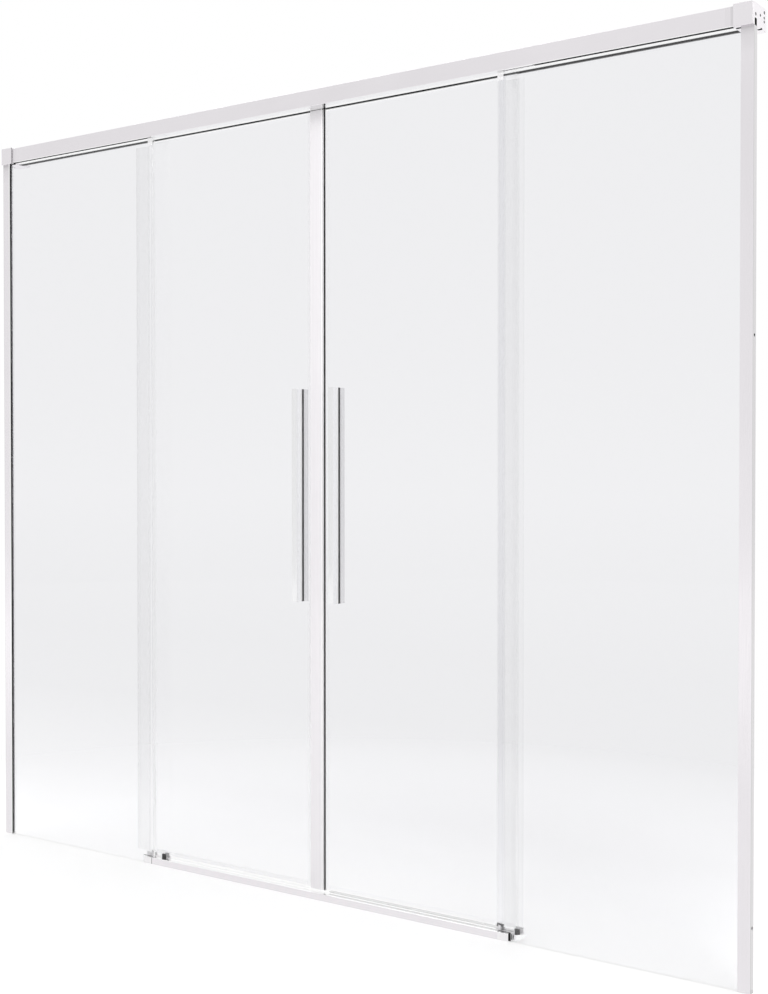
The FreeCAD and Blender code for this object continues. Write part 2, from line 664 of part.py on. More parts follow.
def build_sill_shoe():
    shoe = profile_body("shoe", "YZ_Plane", sill_section(), "shoe_inner", "shoe_length")
    round_front_edge(shoe)
    plug_front = "front_face + sill_wall + plug_fit"
    plug_low = "sill_wall + plug_fit"
    plug = rectangle(plug_front, plug_front + " + plug_width", plug_low, plug_low + " + plug_height")
    add_block(shoe, "YZ_Plane", plug, "shoe_inner - plug_length", "plug_length")
    slot = rectangle("slot_near", "slot_far", "shoe_floor", "sill_front")
    cut_block(shoe, "YZ_Plane", slot, "shoe_slot", "jaw_end - shoe_slot")
    front = rectangle("front_face", "slot_far", "0", "sill_front")
    cut_block(shoe, "YZ_Plane", front, "jaw_end", "shoe_step")
    # The guide stands in a level seat that is cut into the slope
    seat = rectangle("guide_front - peg_fit", "guide_back + peg_fit", "sill_rear", "sill_front")
    seat_start = "guide_centre - guide_length / 2 - peg_fit"
    cut_block(shoe, "YZ_Plane", seat, seat_start, "guide_length + 2 * peg_fit")
    pegs = [(spot, "door_plane", "peg_size + 2 * peg_fit") for spot in peg_places()]
    cut_holes(shoe, "XY_Plane", pegs, "sill_rear - peg_length - peg_fit", "peg_length + peg_fit")
    keep("sill_shoe_right", shoe)
    mirror_left("sill_shoe")

    pad = [("slot_near", "shoe_floor"), ("slot_far", "shoe_floor"), ("slot_far", "pad_top"),
           ("fixed_back", "pad_top"), ("fixed_back", "base_seal"), ("fixed_face", "base_seal"),
           ("fixed_face", "pad_top"), ("slot_near", "pad_top")]
    rubber = profile_body("shoe_rubber", "YZ_Plane", pad, "shoe_slot", "pad_end - shoe_slot")
    keep("shoe_pad_right", rubber)
    mirror_left("shoe_pad")


# Door guide: a black saddle on the shoe, with a pair of jaws at each end that the door's
# bottom seal runs through
def build_door_guide():
    groove_front = "door_plane - drip_half - guide_fit"
    groove_back = "door_plane + drip_half + guide_fit"
    floor = "sill_rear + guide_floor"
    fork = [("guide_front", "sill_rear"), ("guide_back", "sill_rear"), ("guide_back", "guide_top"),
            (groove_back, "guide_top"), (groove_back, floor), (groove_front, floor),
            (groove_front, "guide_top"), ("guide_front", "guide_top")]
    guide = profile_body("guide", "YZ_Plane", fork, "guide_centre - guide_length / 2", "guide_length")
    half_gap = "(guide_length / 2 - guide_jaw)"
    middle = rectangle("guide_centre - " + half_gap, "guide_centre + " + half_gap, floor, "guide_top")
    cut_block(guide, "XZ_Plane", middle, "guide_front", "guide_back - guide_front")
    pegs = [(spot, "door_plane", "peg_size") for spot in peg_places()]
    add_rods(guide, "XY_Plane", pegs, "sill_rear - peg_length", "peg_length")
    keep("door_guide_right", guide)
    mirror_left("door_guide")


# Rail stop: a rubber block astride the track bead that the outer hanger meets
def build_rail_stop():
    floor_top = "rail_bottom + track_floor"
    notch_top = "rail_bottom + track_floor + bead_height + stop_fit"
    notch_front = "track_plane - bead_width / 2 - stop_fit"
    notch_back = "track_plane + bead_width / 2 + stop_fit"
    floor_end = "door_plane - slot_front"
    top = "rail_bottom + stop_height"
    block = [("track_plane - stop_foot", floor_top), (notch_front, floor_top), (notch_front, notch_top),
             (notch_back, notch_top), (notch_back, floor_top), (floor_end, floor_top),
             (floor_end + " + stop_reach", "rail_bottom + hanger_low"), (floor_end + " + stop_reach", top),
             ("track_plane - stop_foot", top)]
    keep("rail_stop_right", profile_body("stop", "YZ_Plane", block, "stop_face", "stop_length"))
    mirror_left("rail_stop")


# Door panes, drilled for the hangers' bosses and the handle bolts
def build_door_glass():
    outline = rectangle("door_gap", "door_edge", "door_bottom", "rail_bottom + door_rise")
    pane = profile_body("door_pane", "XZ_Plane", outline, "pane_front", "glass_thickness")
    bosses = [("%s %s bolt_spacing / 2" % (hanger, side), "axle_level", "boss_size + 2 * boss_fit")
              for hanger in ("hanger_inner", "hanger_outer") for side in ("-", "+")]
    studs = [("handle_place", "handle_middle %s stud_spacing / 2" % side, "collar_size + 2 * collar_fit")
             for side in ("-", "+")]
    cut_holes(pane, "XZ_Plane", bosses + studs, "pane_front", "glass_thickness")
    keep("door_glass_right", pane)
    mirror_left("door_glass")


# Bottom seal: a clear extrusion pushed up onto the door's lower edge, with a drip fin
def build_bottom_seal():
    front = "door_plane - drip_half"
    rear = "door_plane + drip_half"
    top = "door_bottom + drip_grip"
    web = "door_bottom - drip_web"
    section = [(front, top), (front, web), ("door_plane - drip_tip / 2", "drip_bottom"),
               ("door_plane + drip_tip / 2", "drip_bottom"), (rear, web), (rear, top), ("pane_back", top),
               ("pane_back", "door_bottom"), ("pane_front", "door_bottom"), ("pane_front", top)]
    start = "door_gap + meeting_grip + seal_gap"
    keep("bottom_seal_right", profile_body("drip", "YZ_Plane", section, start, "door_edge - (%s)" % start))
    mirror_left("bottom_seal")


# Edge seal: a clear channel on the door's outer edge
def build_edge_seal():
    outer = "door_edge + edge_nose"
    inner = "door_edge - edge_grip"
    section = [(inner, "door_plane - seal_half"), (outer, "door_plane - seal_half"),
               (outer, "door_plane + seal_half"), (inner, "door_plane + seal_half"), (inner, "pane_back"),
               ("door_edge", "pane_back"), ("door_edge", "pane_front"), (inner, "pane_front")]
    keep("edge_seal_right", profile_body("edge", "XY_Plane", section, "seal_foot", "seal_head - seal_foot"))
    mirror_left("edge_seal")


# Meeting seals: a profile on each door's inner edge with a magnet strip in its head. The
# left one has a long hollow head, so that the doors close right of the middle.
def build_meeting_seals():
    height = "seal_head - meeting_foot"
    for side, sign, face in (("right", "", "meeting_line + meeting_gap / 2"),
                             ("left", "-", "meeting_line - meeting_gap / 2")):
        edge = sign + "door_gap"
        tail = "%s(door_gap + meeting_grip)" % sign
        step = "+" if side == "right" else "-"
        pocket_out = "%s %s seal_wall" % (face, step)
        pocket_in = "%s %s (seal_wall + magnet_depth)" % (face, step)
        section = [(face, "door_plane - seal_half"), (tail, "door_plane - seal_half"), (tail, "pane_front"),
                   (edge, "pane_front"), (edge, "pane_back"), (tail, "pane_back"),
                   (tail, "door_plane + seal_half"), (face, "door_plane + seal_half")]
        seal = profile_body("meeting_" + side, "XY_Plane", section, "meeting_foot", height)
        strip = rectangle(pocket_out, pocket_in, "pane_front", "pane_back")
        cut_block(seal, "XY_Plane", strip, "meeting_foot", height)
        if side == "left":
            chamber_end = pocket_in + " - seal_wall"
            chamber = rectangle("-door_gap + seal_wall", chamber_end, "pane_front", "pane_back")
            cut_block(seal, "XY_Plane", chamber, "meeting_foot", height)
        keep("meeting_seal_" + side, seal)
        keep("magnet_strip_" + side,
             profile_body("magnet_" + side, "XY_Plane", strip, "meeting_foot", height))


# Hangers: cast plates before the top of each door, with a roller on a stub axle
def build_hanger(label, centre):
    low = "hanger_low"
    high = "hanger_high"
    ear_top = "rail_height - rail_wall - ear_gap"
    half = "hanger_length / 2"
    inner = "hanger_length / 2 - hanger_ear"
    shape = [("-%s + hanger_slope" % half, low), ("%s - hanger_slope" % half, low),
             (half, low + " + hanger_slope"), (half, ear_top), (inner, ear_top), (inner, high),
             ("-(%s)" % inner, high), ("-(%s)" % inner, ear_top), ("-" + half, ear_top),
             ("-" + half, low + " + hanger_slope")]
    hanger = profile_body(label, "XZ_Plane", shape, "hanger_front", "hanger_depth")
    level = "axle_level - rail_bottom"
    spots = [("%sbolt_spacing / 2" % side, level) for side in ("-", "")]
    add_rods(hanger, "XZ_Plane", [spot + ("boss_size",) for spot in spots], "pane_front", "glass_thickness")
    cut_holes(hanger, "XZ_Plane", [spot + ("bolt_size + 2 * bolt_fit",) for spot in spots],
              "hanger_front", "hanger_depth + glass_thickness")
    cut_holes(hanger, "XZ_Plane", [("0", level, "axle_size + 2 * axle_fit")],
              "hanger_front", "hanger_depth")
    return place(hanger, across=centre, height="rail_bottom")


def build_clamp(name, centre):
    outline = rectangle("-clamp_length / 2", "clamp_length / 2", "-clamp_height / 2", "clamp_height / 2")
    clamp = profile_body(name, "XZ_Plane", outline, "pane_back", "clamp_depth")
    holes = [("%sbolt_spacing / 2" % side, "0", "bolt_size + 2 * bolt_fit") for side in ("-", "")]
    cut_holes(clamp, "XZ_Plane", holes, "pane_back", "clamp_depth")
    return place(clamp, across=centre, height="axle_level")


def build_bolt(name, across):
    tip = "pane_back + clamp_depth"
    seat = "hanger_front"
    shape = [(tip, "0"), (tip, "bolt_size / 2"), (seat, "bolt_size / 2"), (seat, "bolt_head / 2"),
             (seat + " - bolt_cap", "bolt_head / 2"), (seat + " - bolt_cap", "0")]
    return place(turned_body(name, "YZ_Plane", shape), across=across, height="axle_level")


def build_axle(name, centre):
    wheel_back = "track_plane + wheel_width / 2 + axle_play"
    wheel_front = "track_plane - wheel_width / 2 - axle_play"
    shank = "axle_size / 2"
    shape = [("pane_front", "0"), ("pane_front", shank), ("hanger_front", shank),
             ("hanger_front", "axle_collar / 2"), (wheel_back, "axle_collar / 2"), (wheel_back, shank),
             (wheel_front, shank), (wheel_front, "axle_head / 2"),
             (wheel_front + " - axle_cap", "axle_head / 2"), (wheel_front + " - axle_cap", "0")]
    return place(turned_body(name, "YZ_Plane", shape), across=centre, height="axle_level")


def build_roller(name, centre):
    bore = "axle_size / 2 + axle_fit"
    side = "wheel_width / 2"
    half = [("wheel_groove / 2", "wheel_radius"), ("wheel_mouth / 2", "wheel_flange"),
            (side + " - wheel_bevel", "wheel_flange"), (side, "wheel_flange - wheel_bevel"), (side, bore)]
    back = [("track_plane + " + depth, radius) for depth, radius in half]
    front = [("track_plane - (%s)" % depth, radius) for depth, radius in reversed(half)]
    return place(turned_body(name, "YZ_Plane", front + back), across=centre, height="axle_level")


def build_hangers():
    clamps = []
    bolts = []
    axles = []
    for spot in ("outer", "inner"):
        centre = "hanger_" + spot
        keep(spot + "_hanger_right", build_hanger(spot + "_plate", centre))
        keep(spot + "_roller_right", build_roller(spot + "_wheel", centre))
        clamps.append(build_clamp(spot + "_clamp", centre))
        axles.append(build_axle(spot + "_axle", centre))
        for side, sign in (("near", "-"), ("far", "+")):
            bolts.append(build_bolt("%s_%s_bolt" % (spot, side), "%s %s bolt_spacing / 2" % (centre, sign)))
    group("hanger_clamps_right", clamps)
    group("hanger_bolts_right", bolts)
    group("roller_axles_right", axles)
    for name in ("outer_hanger", "outer_roller", "inner_hanger", "inner_roller",
                 "hanger_clamps", "hanger_bolts", "roller_axles"):
        mirror_left(name)


# Handles: an upright block outside that draws in towards the glass and a plain one inside,
# bolted together through the pane with thin rubber pads between metal and glass
def build_handles():
    levels = ["handle_middle - stud_spacing / 2", "handle_middle + stud_spacing / 2"]
    root = "pane_front - pad_depth"
    wedge = [("grip_left", "handle_front"), ("grip_right", "handle_front"),
             ("handle_place + grip_root / 2", root), ("handle_place - grip_root / 2", root)]
    pull = profile_body("pull", "XY_Plane", wedge, "handle_foot", "handle_height")
    round_corners(pull, "grip_round", "z", [("grip_left", "handle_front"), ("grip_right", "handle_front")])
    bite = [("handle_place", level, "stud_size + 2 * stud_fit") for level in levels]
    cut_holes(pull, "XZ_Plane", bite, root + " - stud_bite - stud_fit", "stud_bite + stud_fit")
    keep("outer_handle_right", pull)

    flat = rectangle("bar_left", "bar_right", "bar_front", "bar_back")
    bar = profile_body("bar", "XY_Plane", flat, "handle_foot", "handle_height")
    round_corners(bar, "bar_round", "z", [("bar_left", "bar_back"), ("bar_right", "bar_back")])
    cut_holes(bar, "XZ_Plane", bite, "bar_front", "bar_depth")
    sink = [("handle_place", level, "stud_head + 2 * stud_fit") for level in levels]
    cut_holes(bar, "XZ_Plane", sink, "bar_back - stud_cap - stud_fit", "stud_cap + stud_fit")
    keep("inner_handle_right", bar)

    pads = []
    for name, width, start in (("outer_pad", "grip_root", root), ("inner_pad", "bar_width", "pane_back")):
        outline = rectangle("handle_place - %s / 2" % width, "handle_place + %s / 2" % width,
                            "handle_foot", "handle_foot + handle_height")
        pad = profile_body(name, "XZ_Plane", outline, start, "pad_depth")
        if name == "outer_pad":
            collars = [("handle_place", level, "collar_size") for level in levels]
            add_rods(pad, "XZ_Plane", collars, "pane_front", "glass_thickness")
        cut_holes(pad, "XZ_Plane", bite, root, "2 * pad_depth + glass_thickness")
        pads.append(pad)
    group("handle_pads_right", pads)

    seat = "bar_back - stud_cap - stud_fit"
    shape = [(root + " - stud_bite", "0"), (root + " - stud_bite", "stud_size / 2"),
             (seat, "stud_size / 2"), (seat, "stud_head / 2"), (seat + " + stud_cap", "stud_head / 2"),
             (seat + " + stud_cap", "0")]
    studs = [place(turned_body("stud_%d" % index, "YZ_Plane", shape), across="handle_place", height=level)
             for index, level in enumerate(levels)]
    group("handle_bolts_right", studs)
    for name in ("outer_handle", "inner_handle", "handle_pads", "handle_bolts"):
        mirror_left(name)


build_top_rail()
build_end_cap()
build_rail_screws()
build_cover_strip()
build_wall_channel()
build_fixed_pane()
build_overlap_seal()
build_sill()
build_sill_shoe()
build_door_guide()
build_rail_stop()
build_door_glass()
build_bottom_seal()
build_edge_seal()
build_meeting_seals()
build_hangers()
build_handles()
doc.recompute()

# Every object must have computed, and every sub-part must be whole
for item in doc.Objects:
    if "Invalid" in item.State or "Error" in item.State:
        raise RuntimeError(item.Label + " failed to compute")
for label, (item, solids) in PARTS.items():
    if item.Shape.isNull() or not item.Shape.isValid() or len(item.Shape.Solids) != solids:
        raise RuntimeError(label + " is not a valid solid")

os.makedirs("parts", exist_ok=True)
for label, (item, solids) in PARTS.items():
    item.Shape.exportStep("parts/%s.step" % label)
print(len(PARTS), "sub-parts written")
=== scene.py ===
import math

import bpy
import numpy as np
from mathutils.geometry import tessellate_polygon
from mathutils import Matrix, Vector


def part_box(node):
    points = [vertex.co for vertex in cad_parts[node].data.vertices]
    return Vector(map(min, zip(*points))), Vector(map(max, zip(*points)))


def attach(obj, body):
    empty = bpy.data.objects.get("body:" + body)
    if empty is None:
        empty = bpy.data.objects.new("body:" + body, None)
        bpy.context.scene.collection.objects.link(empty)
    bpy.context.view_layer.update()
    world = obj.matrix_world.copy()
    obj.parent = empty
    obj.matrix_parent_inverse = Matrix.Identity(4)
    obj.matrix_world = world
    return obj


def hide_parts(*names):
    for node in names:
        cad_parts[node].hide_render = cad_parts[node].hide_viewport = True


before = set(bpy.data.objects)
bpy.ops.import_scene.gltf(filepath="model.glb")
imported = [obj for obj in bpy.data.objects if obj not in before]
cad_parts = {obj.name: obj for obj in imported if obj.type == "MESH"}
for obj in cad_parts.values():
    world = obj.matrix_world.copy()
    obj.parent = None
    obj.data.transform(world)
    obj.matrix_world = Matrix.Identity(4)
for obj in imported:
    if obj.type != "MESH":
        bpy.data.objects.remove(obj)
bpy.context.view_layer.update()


# Wall channels: upright U-shaped extrusions of bright anodised aluminium, screwed to the wall.
# The fixed panes stand in them. The finish has fine drawing lines along each extrusion. Painted
# shade darkens the tops under the caps and the faces against the wall; the left-hand channel has a
# painted highlight along its lip, with painted shade on its front end.
HANDS = {"left": -1.0, "right": 1.0}
EVEN = (1.0, 1.0, 1.0)
DRAWN_UP = (1.0, 1.0, 0.01)
GRAIN_DETAIL = 2.0
NOISE_LOW = 0.3
NOISE_HIGH = 0.7
SOFT_RELIEF = 0.2
BRIGHT_DARK = (0.925, 0.896, 0.925)
BRIGHT_LIGHT = (0.950, 0.921, 0.950)
BRIGHT_SHINE = (0.12, 0.24)
CLOUD_SCALE = 9.0
LINE_SCALE = 900.0
LINE_DEPTH = 0.00002
LINE_RELIEF = 0.15


def new_finish(name):
    """An empty node material: the material, its node tree and the shader of its surface."""
    finish = bpy.data.materials.new(name)
    finish.use_nodes = True
    tree = finish.node_tree
    return finish, tree, tree.nodes["Principled BSDF"]


def grain(tree, stretch, scale):
    """Noise on Object coordinates, drawn out along an axis by a small factor in stretch."""
    place = tree.nodes.new("ShaderNodeTexCoord")
    mapping = tree.nodes.new("ShaderNodeMapping")
    mapping.inputs["Scale"].default_value = stretch
    noise = tree.nodes.new("ShaderNodeTexNoise")
    noise.inputs["Scale"].default_value = scale
    noise.inputs["Detail"].default_value = GRAIN_DETAIL
    tree.links.new(place.outputs["Object"], mapping.inputs["Vector"])
    tree.links.new(mapping.outputs["Vector"], noise.inputs["Vector"])
    return noise.outputs["Fac"]


def span(tree, source, here, there):
    """A value carried from the range here to the range there."""
    reach = tree.nodes.new("ShaderNodeMapRange")
    for name, value in zip(("From Min", "From Max", "To Min", "To Max"), (*here, *there)):
        reach.inputs[name].default_value = value
    tree.links.new(source, reach.inputs["Value"])
    return reach.outputs["Result"]


def tones(tree, source, *stops):
    """A colour that runs through stops, each a place from 0 to 1 and a colour."""
    ramp = tree.nodes.new("ShaderNodeValToRGB")
    steps = ramp.color_ramp.elements
    while len(steps) < len(stops):
        steps.new(0.5)
    for step, (place, colour) in zip(steps, stops):
        step.position = place
        step.color = (*colour, 1.0)
    tree.links.new(source, ramp.inputs["Fac"])
    return ramp.outputs["Color"]


def mottle(tree, noise, dark, light):
    """Two tones laid out by a noise, most of which lies between a low and a high value."""
    return tones(tree, noise, (NOISE_LOW, dark), (NOISE_HIGH, light))


def paint(tree, shader, colour):
    """Gives a shader its colour."""
    tree.links.new(colour, shader.inputs["Base Color"])


def shine(tree, shader, noise, limits):
    """Roughness that a noise moves between two limits."""
    rough = span(tree, noise, (NOISE_LOW, NOISE_HIGH), limits)
    tree.links.new(rough, shader.inputs["Roughness"])


def relief(tree, shader, source, depth, strength=SOFT_RELIEF):
    """Fine relief of a depth in metres on a shader's normal."""
    bump = tree.nodes.new("ShaderNodeBump")
    bump.inputs["Strength"].default_value = strength
    bump.inputs["Distance"].default_value = depth
    tree.links.new(source, bump.inputs["Height"])
    tree.links.new(bump.outputs["Normal"], shader.inputs["Normal"])


def bright_metal(name, stretch, dark=BRIGHT_DARK, light=BRIGHT_LIGHT, limits=BRIGHT_SHINE):
    """Bright metal with drawing lines along the axis that stretch makes long."""
    finish, tree, shader = new_finish(name)
    lines = grain(tree, stretch, LINE_SCALE)
    colour = mottle(tree, grain(tree, EVEN, CLOUD_SCALE), dark, light)
    paint(tree, shader, colour)
    shine(tree, shader, lines, limits)
    relief(tree, shader, lines, LINE_DEPTH, LINE_RELIEF)
    shader.inputs["Metallic"].default_value = 1.0
    return finish, tree, shader, colour


def dress(finish, *names):
    """Gives CAD nodes a finish; a name with a star stands for its left and right pieces."""
    for name in names:
        for node in dict.fromkeys(name.replace("*", hand) for hand in HANDS):
            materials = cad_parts[node].data.materials
            materials.clear()
            materials.append(finish)


def reckon(tree, operation, *given):
    """A Math node's result for one or two values, each a socket or a number."""
    step = tree.nodes.new("ShaderNodeMath")
    step.operation = operation
    for place, value in zip(step.inputs, given):
        if isinstance(value, float):
            place.default_value = value
        else:
            tree.links.new(value, place)
    return step.outputs["Value"]


def below(tree, source, limit):
    """1 where a value is less than a limit, and 0 elsewhere."""
    return reckon(tree, "LESS_THAN", source, limit)


def above(tree, source, limit):
    """1 where a value is more than a limit, and 0 elsewhere."""
    return reckon(tree, "GREATER_THAN", source, limit)


def both(tree, first, second):
    """The product of two values from 0 to 1."""
    return reckon(tree, "MULTIPLY", first, second)


def blend(tree, factor, first, second, way="MIX"):
    """Two colours mixed by a factor, each a socket or a plain value."""
    mix = tree.nodes.new("ShaderNodeMix")
    mix.data_type = "RGBA"
    mix.blend_type = way
    for name, given in (("Factor", factor), ("A", first), ("B", second)):
        socket = [socket for socket in mix.inputs if socket.name == name and socket.enabled][0]
        if isinstance(given, tuple):
            socket.default_value = (*given, 1.0)
        elif isinstance(given, float):
            socket.default_value = given
        else:
            tree.links.new(given, socket)
    return [socket for socket in mix.outputs if socket.enabled][0]


def places(tree):
    """Object coordinates as sockets: the place along the screen, its distance from the middle,
    the depth and the height."""
    place = tree.nodes.new("ShaderNodeTexCoord")
    split = tree.nodes.new("ShaderNodeSeparateXYZ")
    tree.links.new(place.outputs["Object"], split.inputs["Vector"])
    along = split.outputs["X"]
    return along, reckon(tree, "ABSOLUTE", along), split.outputs["Y"], split.outputs["Z"]


WHITE = (1.0, 1.0, 1.0)
WALL_SIDE_SHADE = (0.70, 0.69, 0.70)
WALL_SKIN = 0.0005
LIP_HIGHLIGHT_WIDTH = 0.0035
LIP_SHADE = (0.02, 0.02, 0.02)
LIP_END = 0.0002
SHADE_HEIGHT = 0.040
SHADE_LIGHT = (0.92, 0.92, 0.92)
SHADE_MIDDLE = (0.82, 0.82, 0.82)
SHADE_DEEP = (0.64, 0.64, 0.64)
low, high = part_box("wall_channel_right")
upright_metal, tree, shader, colour = bright_metal("upright_metal", DRAWN_UP)
along, out, deep, up = places(tree)
# Painted shade darkens the top of each channel under its cap.
near_the_cap = span(tree, up, (high.z - SHADE_HEIGHT, high.z), (0.0, 1.0))
shade = tones(tree, near_the_cap, (0.0, WHITE), (0.65, SHADE_LIGHT), (0.85, SHADE_MIDDLE),
              (0.97, SHADE_DEEP))
shaded = blend(tree, 1.0, colour, shade, "MULTIPLY")
on_the_left = below(tree, along, 0.0)
# Painted highlight: a white band along the lip of the left-hand channel.
lip_highlight = both(tree, on_the_left, below(tree, out, low.x + LIP_HIGHLIGHT_WIDTH))
front_end = both(tree, below(tree, out, low.x + LIP_END), below(tree, deep, (low.y + high.y) / 2))
# Painted shade: the front end of that lip is near black.
lip_end_shade = both(tree, on_the_left, front_end)
lip_lit_and_shaded = blend(tree, lip_end_shade, blend(tree, lip_highlight, shaded, WHITE), LIP_SHADE)
# Painted shade: the face against the wall is darker.
at_the_wall = above(tree, out, high.x - WALL_SKIN)
paint(tree, shader, blend(tree, at_the_wall, lip_lit_and_shaded, WALL_SIDE_SHADE))
dress(upright_metal, "wall_channel_*")


# Wall gaskets: black U-shaped rubber strips, extruded by the metre, that hold the outer edges
# of the fixed panes in the wall channels. Their lips are rounded where they meet the glass, and
# the left-hand one has a pale rear leg.
LINES_UP = (1.0, 1.0, 0.02)
RUBBER_DARK = (0.006, 0.006, 0.007)
RUBBER_DUSTY = (0.016, 0.016, 0.017)
RUBBER_SHINE = (0.5, 0.75)
RUBBER_LINES = 700.0
RUBBER_DEPTH = 0.00004
RUBBER_GLOSS = 0.15
DUST_SCALE = 40.0
RUBBER_GAP = 0.00005
LIP_ROUND = 0.0006
CORNER_STEPS = 5
SIDE_SHARE = 0.45
MILLIMETRES = 1000.0
SHARP_TURN = math.radians(40.0)
AXES = {"x": [2, 0, 1], "y": [1, 2, 0], "z": [0, 1, 2]}


def soften(corners, radius):
    """An outline with rounded corners: a corner P becomes the curve
    (1-t)(1-t) A + 2t(1-t) P + tt B, with A and B on its two sides, a radius away or a little
    under half a side."""
    corner = np.asarray(corners, float)
    back = np.roll(corner, 1, 0) - corner
    ahead = np.roll(corner, -1, 0) - corner
    back_length = np.linalg.norm(back, axis=1, keepdims=True)
    ahead_length = np.linalg.norm(ahead, axis=1, keepdims=True)
    first = corner + back / back_length * np.minimum(radius, SIDE_SHARE * back_length)
    last = corner + ahead / ahead_length * np.minimum(radius, SIDE_SHARE * ahead_length)
    t = np.linspace(0.0, 1.0, CORNER_STEPS)[:, None]
    middle = 2 * t * (1 - t) * corner[:, None]
    curve = (1 - t) ** 2 * first[:, None] + middle + t ** 2 * last[:, None]
    return curve.reshape(-1, 2)


def carry(loops, start, end, axis):
    """A section carried straight along an axis: each point (u, v) goes to (u, v, start) and
    (u, v, end), with u and v on the next two axes round. The first loop is the outline and
    turns left, the others are hollows and turn right."""
    turned = []
    for rank, loop in enumerate(loops):
        u, v = np.asarray(loop).T
        turns_left = np.sum(u * np.roll(v, -1) - v * np.roll(u, -1)) > 0
        turned.append(np.asarray(loop) if turns_left == (rank == 0) else np.asarray(loop)[::-1])
    flat = np.vstack(turned)
    count = len(flat)
    counts = [len(loop) for loop in turned]
    here = np.arange(count)
    ahead = np.concatenate([skip + np.roll(np.arange(size), -1)
                            for skip, size in zip(np.cumsum([0] + counts), counts)])
    sides = np.column_stack([here, ahead, ahead + count, here + count])
    scaled = [np.column_stack([(loop - flat[0]) * MILLIMETRES, np.zeros(len(loop))]).tolist()
              for loop in turned]
    ends = np.array(tessellate_polygon(scaled))
    a, b, c = flat[ends].transpose(1, 0, 2)
    turn = (b - a)[:, 0] * (c - a)[:, 1] - (b - a)[:, 1] * (c - a)[:, 0]
    ends[turn < 0] = ends[turn < 0][:, ::-1]
    spots = np.vstack([np.column_stack([flat, np.full(count, place)]) for place in (start, end)])
    return spots[:, AXES[axis]], sides, np.vstack([ends[:, ::-1], ends + count])


def upright_strip(corners, low, high, sign):
    """A section with rounded lips, mirrored to the hand that sign gives and carried up."""
    return carry([soften(corners * (sign, 1.0), LIP_ROUND)], low.z, high.z, "z")


def cup(mouth, back, pane_end, skin, pane):
    """Corners of a U round a pane's edge, as places along the pane and across it."""
    return np.array([(mouth, skin[0]), (back, skin[0]), (back, skin[1]), (mouth, skin[1]),
                     (mouth, pane[1]), (pane_end, pane[1]), (pane_end, pane[0]), (mouth, pane[0])])


def fitted(name, shells, finish, body):
    """One piece of closed shells that rides on a body in the place of the CAD node of its name."""
    faces = []
    skip = 0
    for spots, sides, ends in shells:
        faces += (sides + skip).tolist() + (ends + skip).tolist()
        skip += len(spots)
    mesh = bpy.data.meshes.new(name + "_skin")
    mesh.from_pydata(np.vstack([spots for spots, _, _ in shells]).tolist(), [], faces)
    mesh.shade_smooth()
    mesh.set_sharp_from_angle(angle=SHARP_TURN)
    mesh.materials.append(finish)
    piece = bpy.data.objects.new(name + "_skin", mesh)
    bpy.context.scene.collection.objects.link(piece)
    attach(piece, body)
    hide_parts(name)


def black_rubber(name, stretch, dark=RUBBER_DARK, dusty=RUBBER_DUSTY):
    """Matt black rubber with a dusty skin and fine extrusion lines."""
    finish, tree, shader = new_finish(name)
    lines = grain(tree, stretch, RUBBER_LINES)
    colour = mottle(tree, grain(tree, EVEN, DUST_SCALE), dark, dusty)
    paint(tree, shader, colour)
    shine(tree, shader, lines, RUBBER_SHINE)
    relief(tree, shader, lines, RUBBER_DEPTH)
    shader.inputs["Specular IOR Level"].default_value = RUBBER_GLOSS
    return finish, tree, shader, colour


REAR_PALE = (0.80, 0.80, 0.81)
low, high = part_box("wall_gasket_right")
pane_low, pane_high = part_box("fixed_glass_right")
upright_rubber, tree, shader, colour = black_rubber("upright_rubber", LINES_UP)
along, out, deep, up = places(tree)
rear_leg = both(tree, below(tree, along, 0.0), above(tree, deep, pane_high.y))
paint(tree, shader, blend(tree, rear_leg, colour, REAR_PALE))
fixed_skin = (low.y + RUBBER_GAP, high.y - RUBBER_GAP)
fixed_pane = (pane_low.y - RUBBER_GAP, pane_high.y + RUBBER_GAP)
section = cup(low.x, high.x - RUBBER_GAP, pane_high.x + RUBBER_GAP, fixed_skin, fixed_pane)
for hand, sign in HANDS.items():
    strip = upright_strip(section, low, high, sign)
    fitted("wall_gasket_" + hand, [strip], upright_rubber, "frame")


# Top rail: one long aluminium extrusion over the whole width, with a snap-in strip that closes
# its glazing slot over the doors. Outside it is polished and the underside is painted brighter as
# painted light; painted shade makes the inside and the slot mouths underneath dull and near black,
# and darkens a band of the front next to each cap.
DRAWN_ALONG = (0.01, 1.0, 1.0)
INSIDE_SHADE = (0.004, 0.004, 0.004)
SKIN = 0.0002


def within(tree, source, low, high):
    """1 where a value lies between low and high, and 0 elsewhere."""
    return both(tree, above(tree, source, low), below(tree, source, high))


def either(tree, first, second):
    """The larger of two values from 0 to 1."""
    return reckon(tree, "MAXIMUM", first, second)


def choose(tree, mask, off, on):
    """One number where a mask is 0 and another where it is 1."""
    return span(tree, mask, (0.0, 1.0), (off, on))


def hollow(tree, low, high):
    """1 on the surfaces inside a hollow box of metal."""
    along, out, deep, up = places(tree)
    inside = both(tree, within(tree, up, low.z + SKIN, high.z - SKIN),
                  within(tree, deep, low.y + SKIN, high.y - SKIN))
    return both(tree, inside, within(tree, out, low.x + SKIN, high.x - SKIN))


def paint_shade(tree, shader, outside, dark):
    """Paints the shaded places of a metal piece with painted shade: near black and not metallic."""
    paint(tree, shader, blend(tree, dark, outside, INSIDE_SHADE))
    tree.links.new(choose(tree, dark, 1.0, 0.0), shader.inputs["Metallic"])


